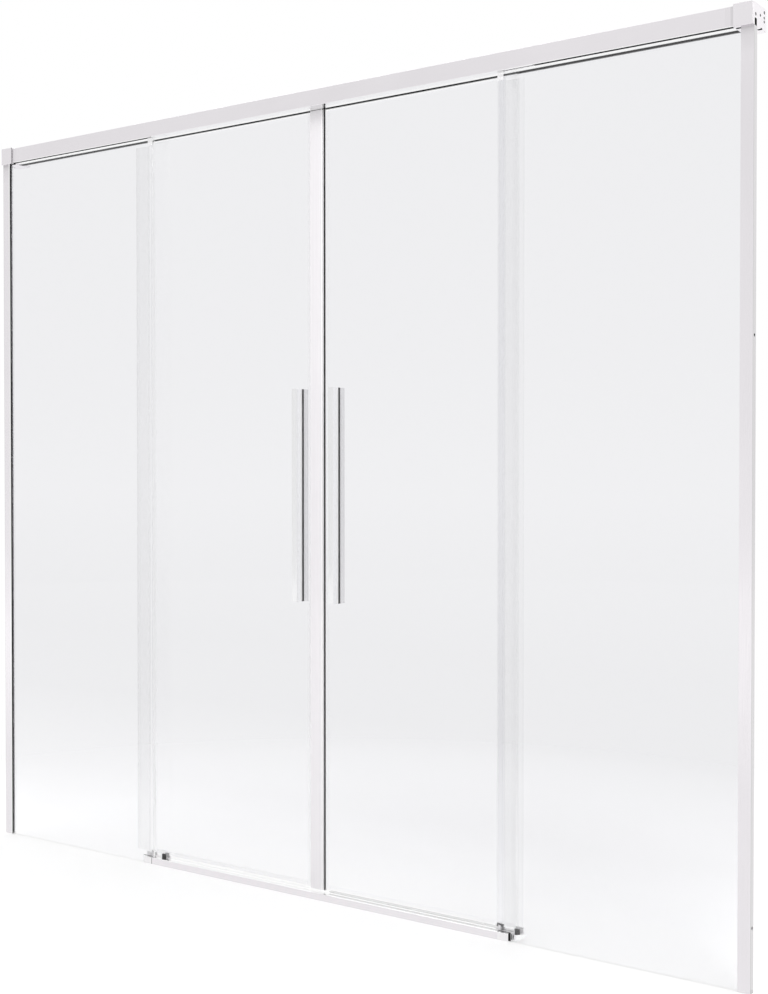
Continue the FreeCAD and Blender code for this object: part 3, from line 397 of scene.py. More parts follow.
CAP_SHADE_WIDTH = 0.014
CAP_SHADE = (0.97, 0.97, 0.97)
CAP_SHADE_DEEP = (0.86, 0.86, 0.86)
SLOT_FRONT = 0.0033
SLOT_REAR = 0.0054
GLAZING_EDGE = 0.0010
PLUG_LENGTH = 0.067
rail_low, rail_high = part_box("top_rail")
cap_low, cap_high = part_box("rail_end_cap_right")
door_low, door_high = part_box("door_glass_right")
rail_metal, tree, shader, colour = bright_metal("rail_metal", DRAWN_ALONG)
along, out, deep, up = places(tree)
# Painted shade: a band of the front next to each cap is darkened.
by_the_cap = span(tree, out, (cap_low.x - CAP_SHADE_WIDTH, cap_low.x), (0.0, 1.0))
shade = tones(tree, by_the_cap, (0.0, WHITE), (0.1, CAP_SHADE), (0.6, CAP_SHADE),
              (0.75, CAP_SHADE_DEEP))
# Painted light: the underside is painted white, brighter than the rest of the outside.
under = below(tree, up, rail_low.z + SKIN)
outside = blend(tree, under, blend(tree, 1.0, colour, shade, "MULTIPLY"), WHITE)
# Painted shade: the underside is near black along the mouths of the door and glazing slots.
door_slot = within(tree, deep, door_low.y - SLOT_FRONT, door_high.y + SLOT_REAR)
over_a_pane = either(tree, below(tree, along, -pane_low.x),
                     above(tree, along, pane_low.x + PLUG_LENGTH))
glazing_slot = within(tree, deep, fixed_skin[0] - GLAZING_EDGE, fixed_skin[1] + GLAZING_EDGE)
slot_shade = both(tree, under, either(tree, door_slot, both(tree, over_a_pane, glazing_slot)))
# Painted shade: the slot mouths and the inside of the rail are near black and not metallic.
paint_shade(tree, shader, outside, either(tree, slot_shade, hollow(tree, rail_low, rail_high)))
dress(rail_metal, "top_rail", "rail_cover_strip")


# End caps: smooth aluminium castings pushed over the rail's ends, each with a drilled plate
# against the wall. Black coated steel screws with a worn sheen hold them to the rail.
CAP_SHINE = (0.16, 0.28)
MOUTH_SHADE = (0.33, 0.32, 0.33)
MOUTH_SHADE_WIDTH = 0.0003
cap_metal, tree, shader, colour = bright_metal("cap_metal", EVEN, limits=CAP_SHINE)
along, out, deep, up = places(tree)
# Painted shade: the cap's face at the mouth, in front of the rail, is darkened.
at_the_mouth = both(tree, below(tree, out, cap_low.x + MOUTH_SHADE_WIDTH),
                    below(tree, deep, rail_low.y))
mouth_shaded = blend(tree, at_the_mouth, colour, MOUTH_SHADE)
# Painted shade: the inside of the cap is near black.
paint_shade(tree, shader, mouth_shaded, hollow(tree, cap_low, cap_high))
dress(cap_metal, "rail_end_cap_*")

SCREW_DARK = (0.008, 0.008, 0.009)
SCREW_WORN = (0.020, 0.020, 0.022)
SCREW_SHINE = (0.35, 0.55)
SCREW_GLOSS = 0.3
WEAR_SCALE = 600.0
WEAR_DEPTH = 0.00003
black_steel, tree, shader = new_finish("black_steel")
wear = grain(tree, EVEN, WEAR_SCALE)
paint(tree, shader, mottle(tree, wear, SCREW_DARK, SCREW_WORN))
shine(tree, shader, wear, SCREW_SHINE)
relief(tree, shader, wear, WEAR_DEPTH)
shader.inputs["Specular IOR Level"].default_value = SCREW_GLOSS
dress(black_steel, "rail_screws")


# Sill: a low aluminium extrusion on the bath rim, polished like the rail, with a shoe plugged
# into each end that holds the corner of a fixed pane. A seam shows in the left-hand shoe.
SHOE_PALE = (0.985, 0.970, 0.985)
SEAM_DARK = (0.62, 0.61, 0.62)
SEAM_PLACE = 0.002
SEAM_WIDTH = 0.0025
sill_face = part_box("sill_rail")[0].y
seam = pane_low.x + SEAM_PLACE
sill_metal, tree, shader, colour = bright_metal("sill_metal", DRAWN_ALONG)
along, out, deep, up = places(tree)
past = blend(tree, above(tree, out, seam), colour, SHOE_PALE)
seamed = blend(tree, within(tree, along, -seam - SEAM_WIDTH, -seam), past, SEAM_DARK)
# Painted light: the top and back of the sill are painted white, brighter than its front.
on_top = above(tree, deep, sill_face + SKIN)
paint(tree, shader, blend(tree, on_top, seamed, WHITE))
dress(sill_metal, "sill_rail", "sill_shoe_*")


# Shoe pads: short U-shaped strips in the shoes, round the lower corners of the fixed panes.
# They are soft and clear, with painted shade in black along the top of the front face and, on
# the right, over the last few millimetres of the front face.
LINES_ALONG = (0.02, 1.0, 1.0)
PAD_PALE = (0.88, 0.88, 0.89)
PAD_CLEAR = 0.03
TOP_SHADE_HEIGHT = 0.001
END_SHADE_LENGTH = 0.004


def level_strip(corners, low, high, sign):
    """A section with rounded lips carried along the screen, on the hand that sign gives."""
    return carry([soften(corners, LIP_ROUND)], *sorted((sign * low.x, sign * high.x)), "x")


low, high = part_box("shoe_pad_right")
shoe_rubber, tree, shader, colour = black_rubber("shoe_rubber", LINES_ALONG)
along, out, deep, up = places(tree)
front_face = below(tree, deep, fixed_skin[0] + SKIN)
pad_end_shade = above(tree, along, high.x - END_SHADE_LENGTH)
# Painted shade: black along the top of the front face and, on the right, over its end.
top_shade = both(tree, above(tree, up, high.z - TOP_SHADE_HEIGHT), above(tree, out, seam))
black_shade = both(tree, front_face, either(tree, pad_end_shade, top_shade))
solid_part = either(tree, black_shade, above(tree, along, high.x - SKIN))
paint(tree, shader, blend(tree, black_shade, PAD_PALE, colour))
tree.links.new(choose(tree, solid_part, PAD_CLEAR, 1.0), shader.inputs["Alpha"])
section = cup(high.z, low.z, pane_low.z - RUBBER_GAP, fixed_skin, fixed_pane)[:, ::-1]
for hand, sign in HANDS.items():
    strip = level_strip(section, low, high, sign)
    fitted("shoe_pad_" + hand, [strip], shoe_rubber, "frame")


# Rail gaskets: black U-shaped rubber over the top edges of the fixed panes, pushed into the
# rail's glazing slot. On the right a pale plug closes the slot at the inner end.
PLUG_PALE = (0.90, 0.885, 0.90)
low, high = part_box("rail_gasket_right")
rail_rubber, tree, shader, colour = black_rubber("rail_rubber", LINES_ALONG)
along, out, deep, up = places(tree)
at_the_plug = within(tree, along, 0.0, pane_low.x + PLUG_LENGTH)
paint(tree, shader, blend(tree, at_the_plug, colour, PLUG_PALE))
section = cup(low.z, high.z - RUBBER_GAP, pane_high.z + RUBBER_GAP, fixed_skin, fixed_pane)[:, ::-1]
for hand, sign in HANDS.items():
    strip = level_strip(section, low, high, sign)
    fitted("rail_gasket_" + hand, [strip], rail_rubber, "frame")


# Fixed panes: clear toughened glass of 6 mm with polished edges. Its faint grey tint changes with
# height as painted light, lighter towards the foot and in a band at the head, and the toughening
# rollers leave a slight wave in the face.
GLASS_FOOT = (0.978, 0.978, 0.986)
GLASS_LOW = (0.926, 0.926, 0.940)
GLASS_KNEE = (0.845, 0.845, 0.860)
GLASS_WAIST = (0.838, 0.838, 0.853)
GLASS_CHEST = (0.874, 0.874, 0.890)
GLASS_HEAD = (0.864, 0.864, 0.880)
GLASS_BEND = 1.5
LIGHTER_HEAD_GLASS = (0.975, 0.975, 0.980)
LIGHTER_HEAD_DEPTH = 0.006
POLISHED_EDGE = (0.985, 0.985, 0.985)
EDGE_ROUGH = 0.2
EDGE_TURN = 0.5
WAVE_LINES = (0.2, 0.2, 1.0)
WAVE_SCALE = 4.0
WAVE_DEPTH = 0.00002
WAVE_RELIEF = 0.1


def pane_glass(name):
    """Clear glass whose tint is a ramp over the height Z, a painted gradient of light, with a faint
    wave and a painted lighter band at the head.
    From outside its edges are polished and gleam, and from inside they let the light out."""
    finish, tree, shader = new_finish(name)
    along, out, deep, up = places(tree)
    # Painted light: the grey tint rises and falls with height and is lightest at the foot.
    tint = tones(tree, up, (0.0, GLASS_FOOT), (0.15, GLASS_LOW), (0.34, GLASS_KNEE),
                 (0.47, GLASS_WAIST), (0.75, GLASS_CHEST), (1.0, GLASS_HEAD))
    # Painted light: a lighter band where the pane goes up into the rail.
    lighter_head = span(tree, up, (rail_low.z - LIGHTER_HEAD_DEPTH, rail_low.z - LIGHTER_HEAD_DEPTH / 2), (0.0, 1.0))
    surface = tree.nodes.new("ShaderNodeNewGeometry")
    place = tree.nodes.new("ShaderNodeTexCoord")
    split = tree.nodes.new("ShaderNodeSeparateXYZ")
    tree.links.new(place.outputs["Normal"], split.inputs["Vector"])
    edge = below(tree, reckon(tree, "ABSOLUTE", split.outputs["Y"]), EDGE_TURN)
    colour = blend(tree, edge, blend(tree, lighter_head, tint, LIGHTER_HEAD_GLASS), POLISHED_EDGE)
    paint(tree, shader, colour)
    tree.links.new(choose(tree, edge, 1.0, 0.0), shader.inputs["Transmission Weight"])
    tree.links.new(choose(tree, edge, 0.0, EDGE_ROUGH), shader.inputs["Roughness"])
    tree.links.new(edge, shader.inputs["Metallic"])
    let_out = both(tree, edge, surface.outputs["Backfacing"])
    tree.links.new(choose(tree, let_out, 1.0, 0.0), shader.inputs["Alpha"])
    relief(tree, shader, grain(tree, WAVE_LINES, WAVE_SCALE), WAVE_DEPTH, WAVE_RELIEF)
    shader.inputs["IOR"].default_value = GLASS_BEND
    return finish, tree, shader, colour


dress(pane_glass("fixed_pane_glass")[0], "fixed_glass_*")


# Base seals: thin clear strips that the fixed panes stand on, between the shoes and the wall
# channels. They are soft plastic and carry the weight of the glass on the bath rim.
FILM_GAP = 0.00015
FILM_DARK = (0.66, 0.66, 0.67)
FILM_LIGHT = (0.74, 0.74, 0.75)
FILM_SHINE = (0.15, 0.3)
FILM_LINES = 500.0
FILM_DEPTH = 0.00003
FILM_TURN = 0.3
BASE_DENSITY = (0.01, 0.05)


def clear_film(name, stretch):
    """Clear soft plastic with fine lines along it, as a film that still needs its density."""
    finish, tree, shader = new_finish(name)
    lines = grain(tree, stretch, FILM_LINES)
    colour = mottle(tree, lines, FILM_DARK, FILM_LIGHT)
    paint(tree, shader, colour)
    shine(tree, shader, lines, FILM_SHINE)
    relief(tree, shader, lines, FILM_DEPTH)
    return finish, tree, shader, colour


def plain_film(name, stretch, density):
    """A clear film whose density rises from the first value, face on, to the second, edge on."""
    finish, tree, shader, colour = clear_film(name, stretch)
    turned_away = tree.nodes.new("ShaderNodeLayerWeight")
    turned_away.inputs["Blend"].default_value = FILM_TURN
    film = span(tree, turned_away.outputs["Facing"], (0.0, 1.0), density)
    tree.links.new(film, shader.inputs["Alpha"])
    return finish


base_film = plain_film("base_film", LINES_ALONG, BASE_DENSITY)
low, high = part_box("base_seal_right")
base_top = high.z - FILM_GAP
section = [(low.y, low.z), (high.y, low.z), (high.y, base_top), (low.y, base_top)]
for hand, sign in HANDS.items():
    strip = level_strip(section, low, high, sign)
    fitted("base_seal_" + hand, [strip], base_film, "frame")


# Overlap seals: clear extrusions pushed onto the inner edges of the fixed panes. A flat web
# lies against the back of the glass, past the edge of the closed door, and ends in a small lip.
# The wall over the pane's edge gleams from outside.
FILM_WALL = 0.0012
GRIP_REACH = 0.011
WEB_FOOT = 0.008
WEB_DROP = 0.0157
GRIP_DENSITY = (0.004, 0.004, 0.004)
WEB_DENSITY = (0.065, 0.065, 0.065)
THIN_DENSITY = (0.03, 0.03, 0.03)
LIP_DENSITY = (0.04, 0.04, 0.04)
RIM_DENSITY = (0.085, 0.085, 0.085)
RIM_START = 0.8
HEAD_DENSITY = (0.85, 0.85, 0.85)
HEAD_PALE = (0.86, 0.85, 0.86)
END_SKIN = 0.0003
low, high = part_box("overlap_seal_right")
overlap_film, tree, shader, colour = clear_film("overlap_film", LINES_UP)
along, out, deep, up = places(tree)
share = span(tree, out, (low.x, high.x), (0.0, 1.0))
film = tones(tree, share, (0.0, LIP_DENSITY), (0.03, GRIP_DENSITY), (0.22, GRIP_DENSITY),
             (0.24, WEB_DENSITY), (0.80, WEB_DENSITY), (0.84, THIN_DENSITY), (0.94, THIN_DENSITY),
             (0.97, LIP_DENSITY))
thick_rim = both(tree, below(tree, along, 0.0), above(tree, share, RIM_START))
film = blend(tree, thick_rim, film, RIM_DENSITY)
at_the_head = both(tree, above(tree, up, high.z - WEB_DROP), below(tree, deep, low.y + SKIN))
surface = tree.nodes.new("ShaderNodeNewGeometry")
from_outside = choose(tree, surface.outputs["Backfacing"], 1.0, 0.0)
end_wall = both(tree, below(tree, out, low.x + END_SKIN), from_outside)
topped = blend(tree, at_the_head, colour, HEAD_PALE)
paint(tree, shader, blend(tree, end_wall, topped, POLISHED_EDGE))
tree.links.new(end_wall, shader.inputs["Metallic"])
film = blend(tree, end_wall, blend(tree, at_the_head, film, HEAD_DENSITY), WHITE)
tree.links.new(film, shader.inputs["Alpha"])
grip_end = pane_low.x + GRIP_REACH
grip_skin = (pane_low.y - FILM_WALL, pane_high.y + FILM_WALL)
grip_pane = (pane_low.y - FILM_GAP, pane_high.y + FILM_GAP)
grip = cup(grip_end, low.x, pane_low.x - FILM_GAP, grip_skin, grip_pane)
lip_start = high.x - FILM_WALL
web = np.array([(grip_end, grip_pane[1]), (high.x, grip_pane[1]), (high.x, high.y),
                (lip_start, high.y), (lip_start, grip_skin[1]), (grip_end, grip_skin[1])])
for hand, sign in HANDS.items():
    grip_shell = upright_strip(grip, low, high, sign)
    web_outline = soften(web * (sign, 1.0), FILM_GAP)
    web_shell = carry([web_outline], low.z + WEB_FOOT, high.z - WEB_DROP, "z")
    fitted("overlap_seal_" + hand, [grip_shell, web_shell], overlap_film, "frame")


# Door guides: pale nylon saddles pegged into the shoes, whose jaws keep the lower edges of the
# doors in line. The front jaw at the right-hand end of each is painted black as painted shade.
NYLON_DARK = (0.90, 0.89, 0.90)
NYLON_LIGHT = (0.95, 0.94, 0.95)
NYLON_SHINE = (0.4, 0.6)
MOULD_SCALE = 1500.0
MOULD_DEPTH = 0.00003
MOULD_RELIEF = 0.3
JAW_SHADE_DARK = (0.02, 0.02, 0.02)
JAW_SHADE_LIGHT = (0.05, 0.05, 0.05)
JAW_SHADE_LENGTH = 0.009
JAW_SHADE_GAP = 0.001


def guide_nylon(name, jaw_shade_start):
    """Pale nylon with the fine grain of the mould, with black painted shade past a place along the
    screen and in front of the door."""
    finish, tree, shader = new_finish(name)
    skin = grain(tree, EVEN, MOULD_SCALE)
    pale = mottle(tree, skin, NYLON_DARK, NYLON_LIGHT)
    black_shade = mottle(tree, skin, JAW_SHADE_DARK, JAW_SHADE_LIGHT)
    along, out, deep, up = places(tree)
    # Painted shade: black on the front jaw at the right-hand end.
    in_front = below(tree, deep, door_low.y - JAW_SHADE_GAP)
    jaw_shade = both(tree, above(tree, along, jaw_shade_start), in_front)
    paint(tree, shader, blend(tree, jaw_shade, pale, black_shade))
    shine(tree, shader, skin, NYLON_SHINE)
    relief(tree, shader, skin, MOULD_DEPTH, MOULD_RELIEF)
    return finish


for hand in HANDS:
    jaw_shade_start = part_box("door_guide_" + hand)[1].x - JAW_SHADE_LENGTH
    dress(guide_nylon(hand + "_guide_nylon", jaw_shade_start), "door_guide_" + hand)


# Door panes: the same toughened glass, drilled for the hangers and handles. The right-hand one
# is painted without tint behind the fixed pane, as painted light, so that the two layers look no
# darker than one.
dress(pane_glass("left_door_glass")[0], "door_glass_left")
right_door_glass, tree, shader, colour = pane_glass("right_door_glass")
along, out, deep, up = places(tree)
# Painted light: the tint is left out behind the fixed pane.
behind = above(tree, out, pane_low.x)
paint(tree, shader, blend(tree, behind, colour, WHITE))
dress(right_door_glass, "door_glass_right")


# Hangers: cast steel plates that carry the doors in the rail, with clamp plates and bolts
# through the glass, and stub axles for the rollers.
STEEL_LINES = (0.05, 1.0, 1.0)
STEEL_DARK = (0.55, 0.55, 0.56)
STEEL_LIGHT = (0.66, 0.66, 0.67)
STEEL_SHINE = (0.25, 0.4)
steel = bright_metal("satin_steel", STEEL_LINES, STEEL_DARK, STEEL_LIGHT, STEEL_SHINE)[0]
dress(steel, "outer_hanger_*", "inner_hanger_*", "hanger_clamps_*", "hanger_bolts_*",
      "roller_axles_*")


# Rollers: turned wheels of off-white nylon with a groove that runs on the rail's track bead.
# The tool leaves fine turning marks.
ROLLER_DARK = (0.74, 0.73, 0.69)
ROLLER_LIGHT = (0.82, 0.81, 0.78)
ROLLER_SHINE = (0.35, 0.5)
MARK_SCALE = 800.0
MARK_DEPTH = 0.00003
roller_nylon, tree, shader = new_finish("roller_nylon")
marks = grain(tree, EVEN, MARK_SCALE)
paint(tree, shader, mottle(tree, marks, ROLLER_DARK, ROLLER_LIGHT))
shine(tree, shader, marks, ROLLER_SHINE)
relief(tree, shader, marks, MARK_DEPTH)
dress(roller_nylon, "outer_roller_*", "inner_roller_*")


# Rail stops: rubber blocks astride the track bead, near the ends of the rail, that the outer
# hangers come up to when the doors are open.
NOTCH_HALF = 0.0021
NOTCH_HEIGHT = 0.0025
STOP_SHELF = 0.0045
STOP_FOOT = 0.005
STOP_REACH = 0.001
level_rubber = black_rubber("level_rubber", LINES_ALONG)[0]
low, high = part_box("rail_stop_right")
notch_front = low.y + STOP_FOOT - NOTCH_HALF
notch_rear = low.y + STOP_FOOT + NOTCH_HALF
notch_top = low.z + NOTCH_HEIGHT
shelf = low.z + STOP_SHELF
section = [(low.y, low.z), (notch_front, low.z), (notch_front, notch_top), (notch_rear, notch_top),
           (notch_rear, low.z), (high.y - STOP_REACH, low.z), (high.y - STOP_REACH, shelf),
           (high.y, shelf), (high.y, high.z), (low.y, high.z)]
for hand, sign in HANDS.items():
    strip = level_strip(section, low, high, sign)
    fitted("rail_stop_" + hand, [strip], level_rubber, "frame")


# Bottom seals: clear extrusions pushed up onto the doors' lower edges, with a fin that drips
# onto the sloped sill and runs through the door guide. The right-hand fin is painted grey as a
# painted shadow line.
DRIP_WEB = 0.0035
DRIP_DENSITY = (0.015, 0.12)
DRIP_CLEAR = 0.012
FIN_HALF = 0.0015
FIN_SHADE = (0.30, 0.30, 0.31)
FIN_SHADE_DENSITY = 0.24
low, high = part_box("bottom_seal_right")
drip_pane = (door_low.y - FILM_GAP, door_high.y + FILM_GAP)
middle = (door_low.y + door_high.y) / 2
web_foot = door_low.z - DRIP_WEB
web_top = door_low.z - FILM_GAP
section = [(low.y, high.z), (low.y, web_foot), (middle - FIN_HALF, low.z),
           (middle + FIN_HALF, low.z), (high.y, web_foot), (high.y, high.z),
           (drip_pane[1], high.z), (drip_pane[1], web_top), (drip_pane[0], web_top),
           (drip_pane[0], high.z)]
left_film = plain_film("left_drip_film", LINES_ALONG, DRIP_DENSITY)
right_film, tree, shader, colour = clear_film("right_drip_film", LINES_ALONG)
along, out, deep, up = places(tree)
# Painted shadow: the right-hand fin is grey and denser.
at_the_fin = below(tree, up, web_foot)
paint(tree, shader, blend(tree, at_the_fin, colour, FIN_SHADE))
tree.links.new(choose(tree, at_the_fin, DRIP_CLEAR, FIN_SHADE_DENSITY), shader.inputs["Alpha"])
for hand, finish in (("left", left_film), ("right", right_film)):
    strip = level_strip(section, low, high, HANDS[hand])
    fitted("bottom_seal_" + hand, [strip], finish, hand + "_door")


# Edge seals: clear channels pushed onto the doors' outer edges, behind the fixed panes.
# They are a very clear soft plastic that hardly bends the light, with fine lines along it.
EDGE_DARK = (0.985, 0.985, 0.985)
EDGE_LIGHT = (0.995, 0.995, 0.995)
EDGE_SHINE = (0.0, 0.02)
EDGE_BEND = 1.01
edge_plastic, tree, shader = new_finish("edge_plastic")
lines = grain(tree, LINES_UP, FILM_LINES)
paint(tree, shader, mottle(tree, lines, EDGE_DARK, EDGE_LIGHT))
shine(tree, shader, lines, EDGE_SHINE)
relief(tree, shader, lines, FILM_DEPTH)
shader.inputs["Transmission Weight"].default_value = 1.0
shader.inputs["IOR"].default_value = EDGE_BEND
low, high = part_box("edge_seal_right")
section = cup(low.x, high.x, door_high.x + FILM_GAP, (low.y, high.y), drip_pane)
for hand, sign in HANDS.items():
    strip = upright_strip(section, low, high, sign)
    fitted("edge_seal_" + hand, [strip], edge_plastic, hand + "_door")


# Meeting seals: extrusions on the doors' inner edges, each with a dark magnet strip in its head,
# whose back and inner side are painted pale as painted light. The right one is clear. The left one
# is milky, with a long hollow head and a painted highlight along its meeting edge, and clear where
# it grips the pane.
MILKY_DARK = (0.840, 0.817, 0.840)
MILKY_LIGHT = (0.865, 0.842, 0.865)
MILKY_HIGHLIGHT = (0.995, 0.985, 0.995)
MILKY_SHINE = (0.3, 0.45)
MILKY_CLEAR = 0.03
EDGE_HIGHLIGHT_WIDTH = 0.0020
MAGNET_SIDE_LIGHT = (0.90, 0.89, 0.90)
LIGHT_SIDE_WIDTH = 0.0010
DARK_FRONT_DEPTH = 0.0015
POCKET_GAP = 0.00004
MEETING_DENSITY = (0.004, 0.04)


def slab(left, right, near, far):
    """Corners of a rectangle."""
    return np.array([(left, near), (right, near), (right, far), (left, far)])


milky_seal, tree, shader = new_finish("milky_seal")
lines = grain(tree, LINES_UP, FILM_LINES)
along, out, deep, up = places(tree)
head = above(tree, along, -door_low.x + SKIN)
# Painted highlight: the last 2 mm of the left seal's head, at the meeting edge, is painted white.
edge_highlight = above(tree, along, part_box("meeting_seal_left")[1].x - EDGE_HIGHLIGHT_WIDTH)
milky = mottle(tree, lines, MILKY_DARK, MILKY_LIGHT)
paint(tree, shader, blend(tree, edge_highlight, milky, MILKY_HIGHLIGHT))
tree.links.new(choose(tree, head, MILKY_CLEAR, 1.0), shader.inputs["Alpha"])
shine(tree, shader, lines, MILKY_SHINE)
relief(tree, shader, lines, FILM_DEPTH)

magnet_rubber, tree, shader, colour = black_rubber("magnet_rubber", LINES_UP)
along, out, deep, up = places(tree)
strip_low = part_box("magnet_strip_right")[0]
# Painted light: pale on the back of each magnet and on the right magnet's inner side.
painted_light_sides = either(tree, within(tree, along, strip_low.x - POCKET_GAP, strip_low.x + LIGHT_SIDE_WIDTH),
                above(tree, deep, strip_low.y + DARK_FRONT_DEPTH))
paint(tree, shader, blend(tree, painted_light_sides, colour, MAGNET_SIDE_LIGHT))

upright_film = plain_film("upright_film", LINES_UP, MEETING_DENSITY)
meeting_finish = {"left": (milky_seal, "white_seal"), "right": (upright_film, "clear_seal")}
for hand, sign in HANDS.items():
    body = hand + "_door"
    low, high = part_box("meeting_seal_" + hand)
    strip_low, strip_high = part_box("magnet_strip_" + hand)
    face, tail = (high.x, low.x) if hand == "left" else (low.x, high.x)
    outline = cup(tail, face, sign * (door_low.x - FILM_GAP), (low.y, high.y), drip_pane)
    pocket = slab(strip_low.x - POCKET_GAP, strip_high.x + POCKET_GAP,
                  strip_low.y - POCKET_GAP, strip_high.y + POCKET_GAP)
    loops = [soften(outline, LIP_ROUND), soften(pocket, LIP_ROUND)]
    if hand == "left":
        chamber = slab(-door_low.x + FILM_WALL, strip_low.x - FILM_WALL, strip_low.y, strip_high.y)
        loops.append(soften(chamber, LIP_ROUND))
    finish, slot = meeting_finish[hand]
    fitted("meeting_seal_" + hand, [carry(loops, low.z, high.z, "z")], finish, body)
    strip = soften(slab(strip_low.x, strip_high.x, strip_low.y, strip_high.y), LIP_ROUND)
    magnet = carry([strip], strip_low.z, strip_high.z, "z")
    fitted("magnet_strip_" + hand, [magnet], magnet_rubber, body)


# Handles: polished blocks, the outer one drawn in towards the glass and the inner one straight,
# bolted to each other through the pane. The front face is painted a little darker as painted
# shade, and the drawn-in neck is painted white as a painted highlight.
HANDLE_SHINE = (0.05, 0.14)
HANDLE_TONES = {"outer_handle": ((0.955, 0.955, 0.970), (0.975, 0.975, 0.985)),
                "inner_handle": ((0.855, 0.850, 0.860), (0.880, 0.875, 0.885))}
FACE_SHADE_DARK = (0.895, 0.895, 0.905)
FACE_SHADE_LIGHT = (0.915, 0.915, 0.925)
BLOCK_METAL = 0.8
NECK_METAL = 0.2
NECK_START = -0.0012
handle_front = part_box("outer_handle_right")[0].y
for name, (dark, light) in HANDLE_TONES.items():
    handle_metal, tree, shader, colour = bright_metal(name + "_metal", LINES_UP, dark, light,
                                                      HANDLE_SHINE)
    along, out, deep, up = places(tree)
    neck = within(tree, deep, NECK_START, door_low.y)
    tree.links.new(choose(tree, neck, BLOCK_METAL, NECK_METAL), shader.inputs["Metallic"])
    # Painted shade: the front face of the outer handle is darker.
    at_the_face = below(tree, deep, handle_front + SKIN)
    face_shade = mottle(tree, grain(tree, LINES_UP, LINE_SCALE), FACE_SHADE_DARK, FACE_SHADE_LIGHT)
    face_shaded = blend(tree, at_the_face, colour, face_shade)
    # Painted highlight: the drawn-in neck is painted white.
    paint(tree, shader, blend(tree, neck, face_shaded, WHITE))
    dress(handle_metal, name + "_*")
dress(steel, "handle_bolts_*")


# Handle pads: thin dark rubber under each handle, with collars that keep the bolts off the
# glass. They are cut from sheet.
SHEET_DARK = (0.19, 0.19, 0.19)
SHEET_LIGHT = (0.25, 0.25, 0.25)
SHEET_ROUND = 0.0008
COLLAR_RADIUS = 0.0043
BOLT_RADIUS = 0.00215
BOLT_REACH = 0.160
RING_STEPS = 24


def ring(level, place, radius):
    """A circle of points: (level, place) + radius (cos a, sin a)."""
    turn = np.linspace(0.0, 2.0 * math.pi, RING_STEPS, endpoint=False)
    return np.column_stack([level + radius * np.cos(turn), place + radius * np.sin(turn)])


pad_rubber = black_rubber("pad_rubber", EVEN, SHEET_DARK, SHEET_LIGHT)[0]
for hand in HANDS:
    low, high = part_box("handle_pads_" + hand)
    place = (low.x + high.x) / 2
    levels = [(low.z + high.z) / 2 + step * BOLT_REACH for step in (-1.0, 1.0)]
    bolts = [ring(level, place, BOLT_RADIUS) for level in levels]
    outline = soften(slab(low.z, high.z, low.x, high.x), SHEET_ROUND)
    shells = [carry([outline] + bolts, low.y, door_low.y - RUBBER_GAP, "y"),
              carry([outline] + bolts, door_high.y + RUBBER_GAP, high.y, "y")]
    for level, bolt in zip(levels, bolts):
        collar = ring(level, place, COLLAR_RADIUS)
        shells.append(carry([collar, bolt], door_low.y, door_high.y, "y"))
    fitted("handle_pads_" + hand, shells, pad_rubber, hand + "_door")


# Studio: a pale floor under the screen that fades into the white background, even light from
# all round and two large soft lamps, and the camera of the photograph.
FLOOR_RADIUS = 8.0
FLOOR_RINGS = 50
FLOOR_SPOKES = 96
FLOOR_DROP = 0.0005
FLOOR_PALE = (0.95, 0.95, 0.95, 1.0)
FLOOR_ROUGH = 0.9
FADE_START = 0.9
FADE_END = 1.6
FLOOR_GLOW = 0.14
NEAR_GLOW = 0.135
FAR_GLOW = 0.05
GLOW_START = 0.15
GLOW_END = 0.6
NEAR_MIRROR = (0.87, 0.87, 0.87)


def floor_disc(radius, rings, spokes):
    """A flat disc on a polar grid: (s, a) goes to radius s (cos a, sin a), with a hub of
    triangles in the middle."""
    reach = np.linspace(0.0, radius, rings)[1:]
    turn = np.linspace(0.0, 2.0 * math.pi, spokes, endpoint=False)
    across = np.outer(reach, np.cos(turn)).ravel()
    along = np.outer(reach, np.sin(turn)).ravel()
    rim = np.column_stack([across, along, np.zeros_like(across)])
    spots = np.vstack([np.zeros((1, 3)), rim])
    hoop, spoke = np.meshgrid(np.arange(rings - 2), np.arange(spokes), indexing="ij")
    near = 1 + hoop * spokes
    far = near + spokes
    ahead = (spoke + 1) % spokes
    quads = np.stack([near + spoke, far + spoke, far + ahead, near + ahead], -1)
    first = np.arange(spokes)
    hub = np.column_stack([np.zeros(spokes, int), 1 + first, 1 + (first + 1) % spokes])
    return spots, quads.reshape(-1, 4).tolist() + hub.tolist()


spots, faces = floor_disc(FLOOR_RADIUS, FLOOR_RINGS, FLOOR_SPOKES)
floor_mesh = bpy.data.meshes.new("floor")
floor_mesh.from_pydata(spots.tolist(), [], faces)
floor = bpy.data.objects.new("floor", floor_mesh)
bpy.context.scene.collection.objects.link(floor)
floor.location.z = -FLOOR_DROP

floor_finish, tree, shader = new_finish("pale_floor")
shader.inputs["Base Color"].default_value = FLOOR_PALE
shader.inputs["Roughness"].default_value = FLOOR_ROUGH
shader.inputs["Specular IOR Level"].default_value = 0.0
path = tree.nodes.new("ShaderNodeLightPath")
through_glass = path.outputs["Is Transmission Ray"]
place = tree.nodes.new("ShaderNodeTexCoord")
length = tree.nodes.new("ShaderNodeVectorMath")
length.operation = "LENGTH"
tree.links.new(place.outputs["Object"], length.inputs[0])
distance = length.outputs["Value"]
along, out, deep, up = places(tree)
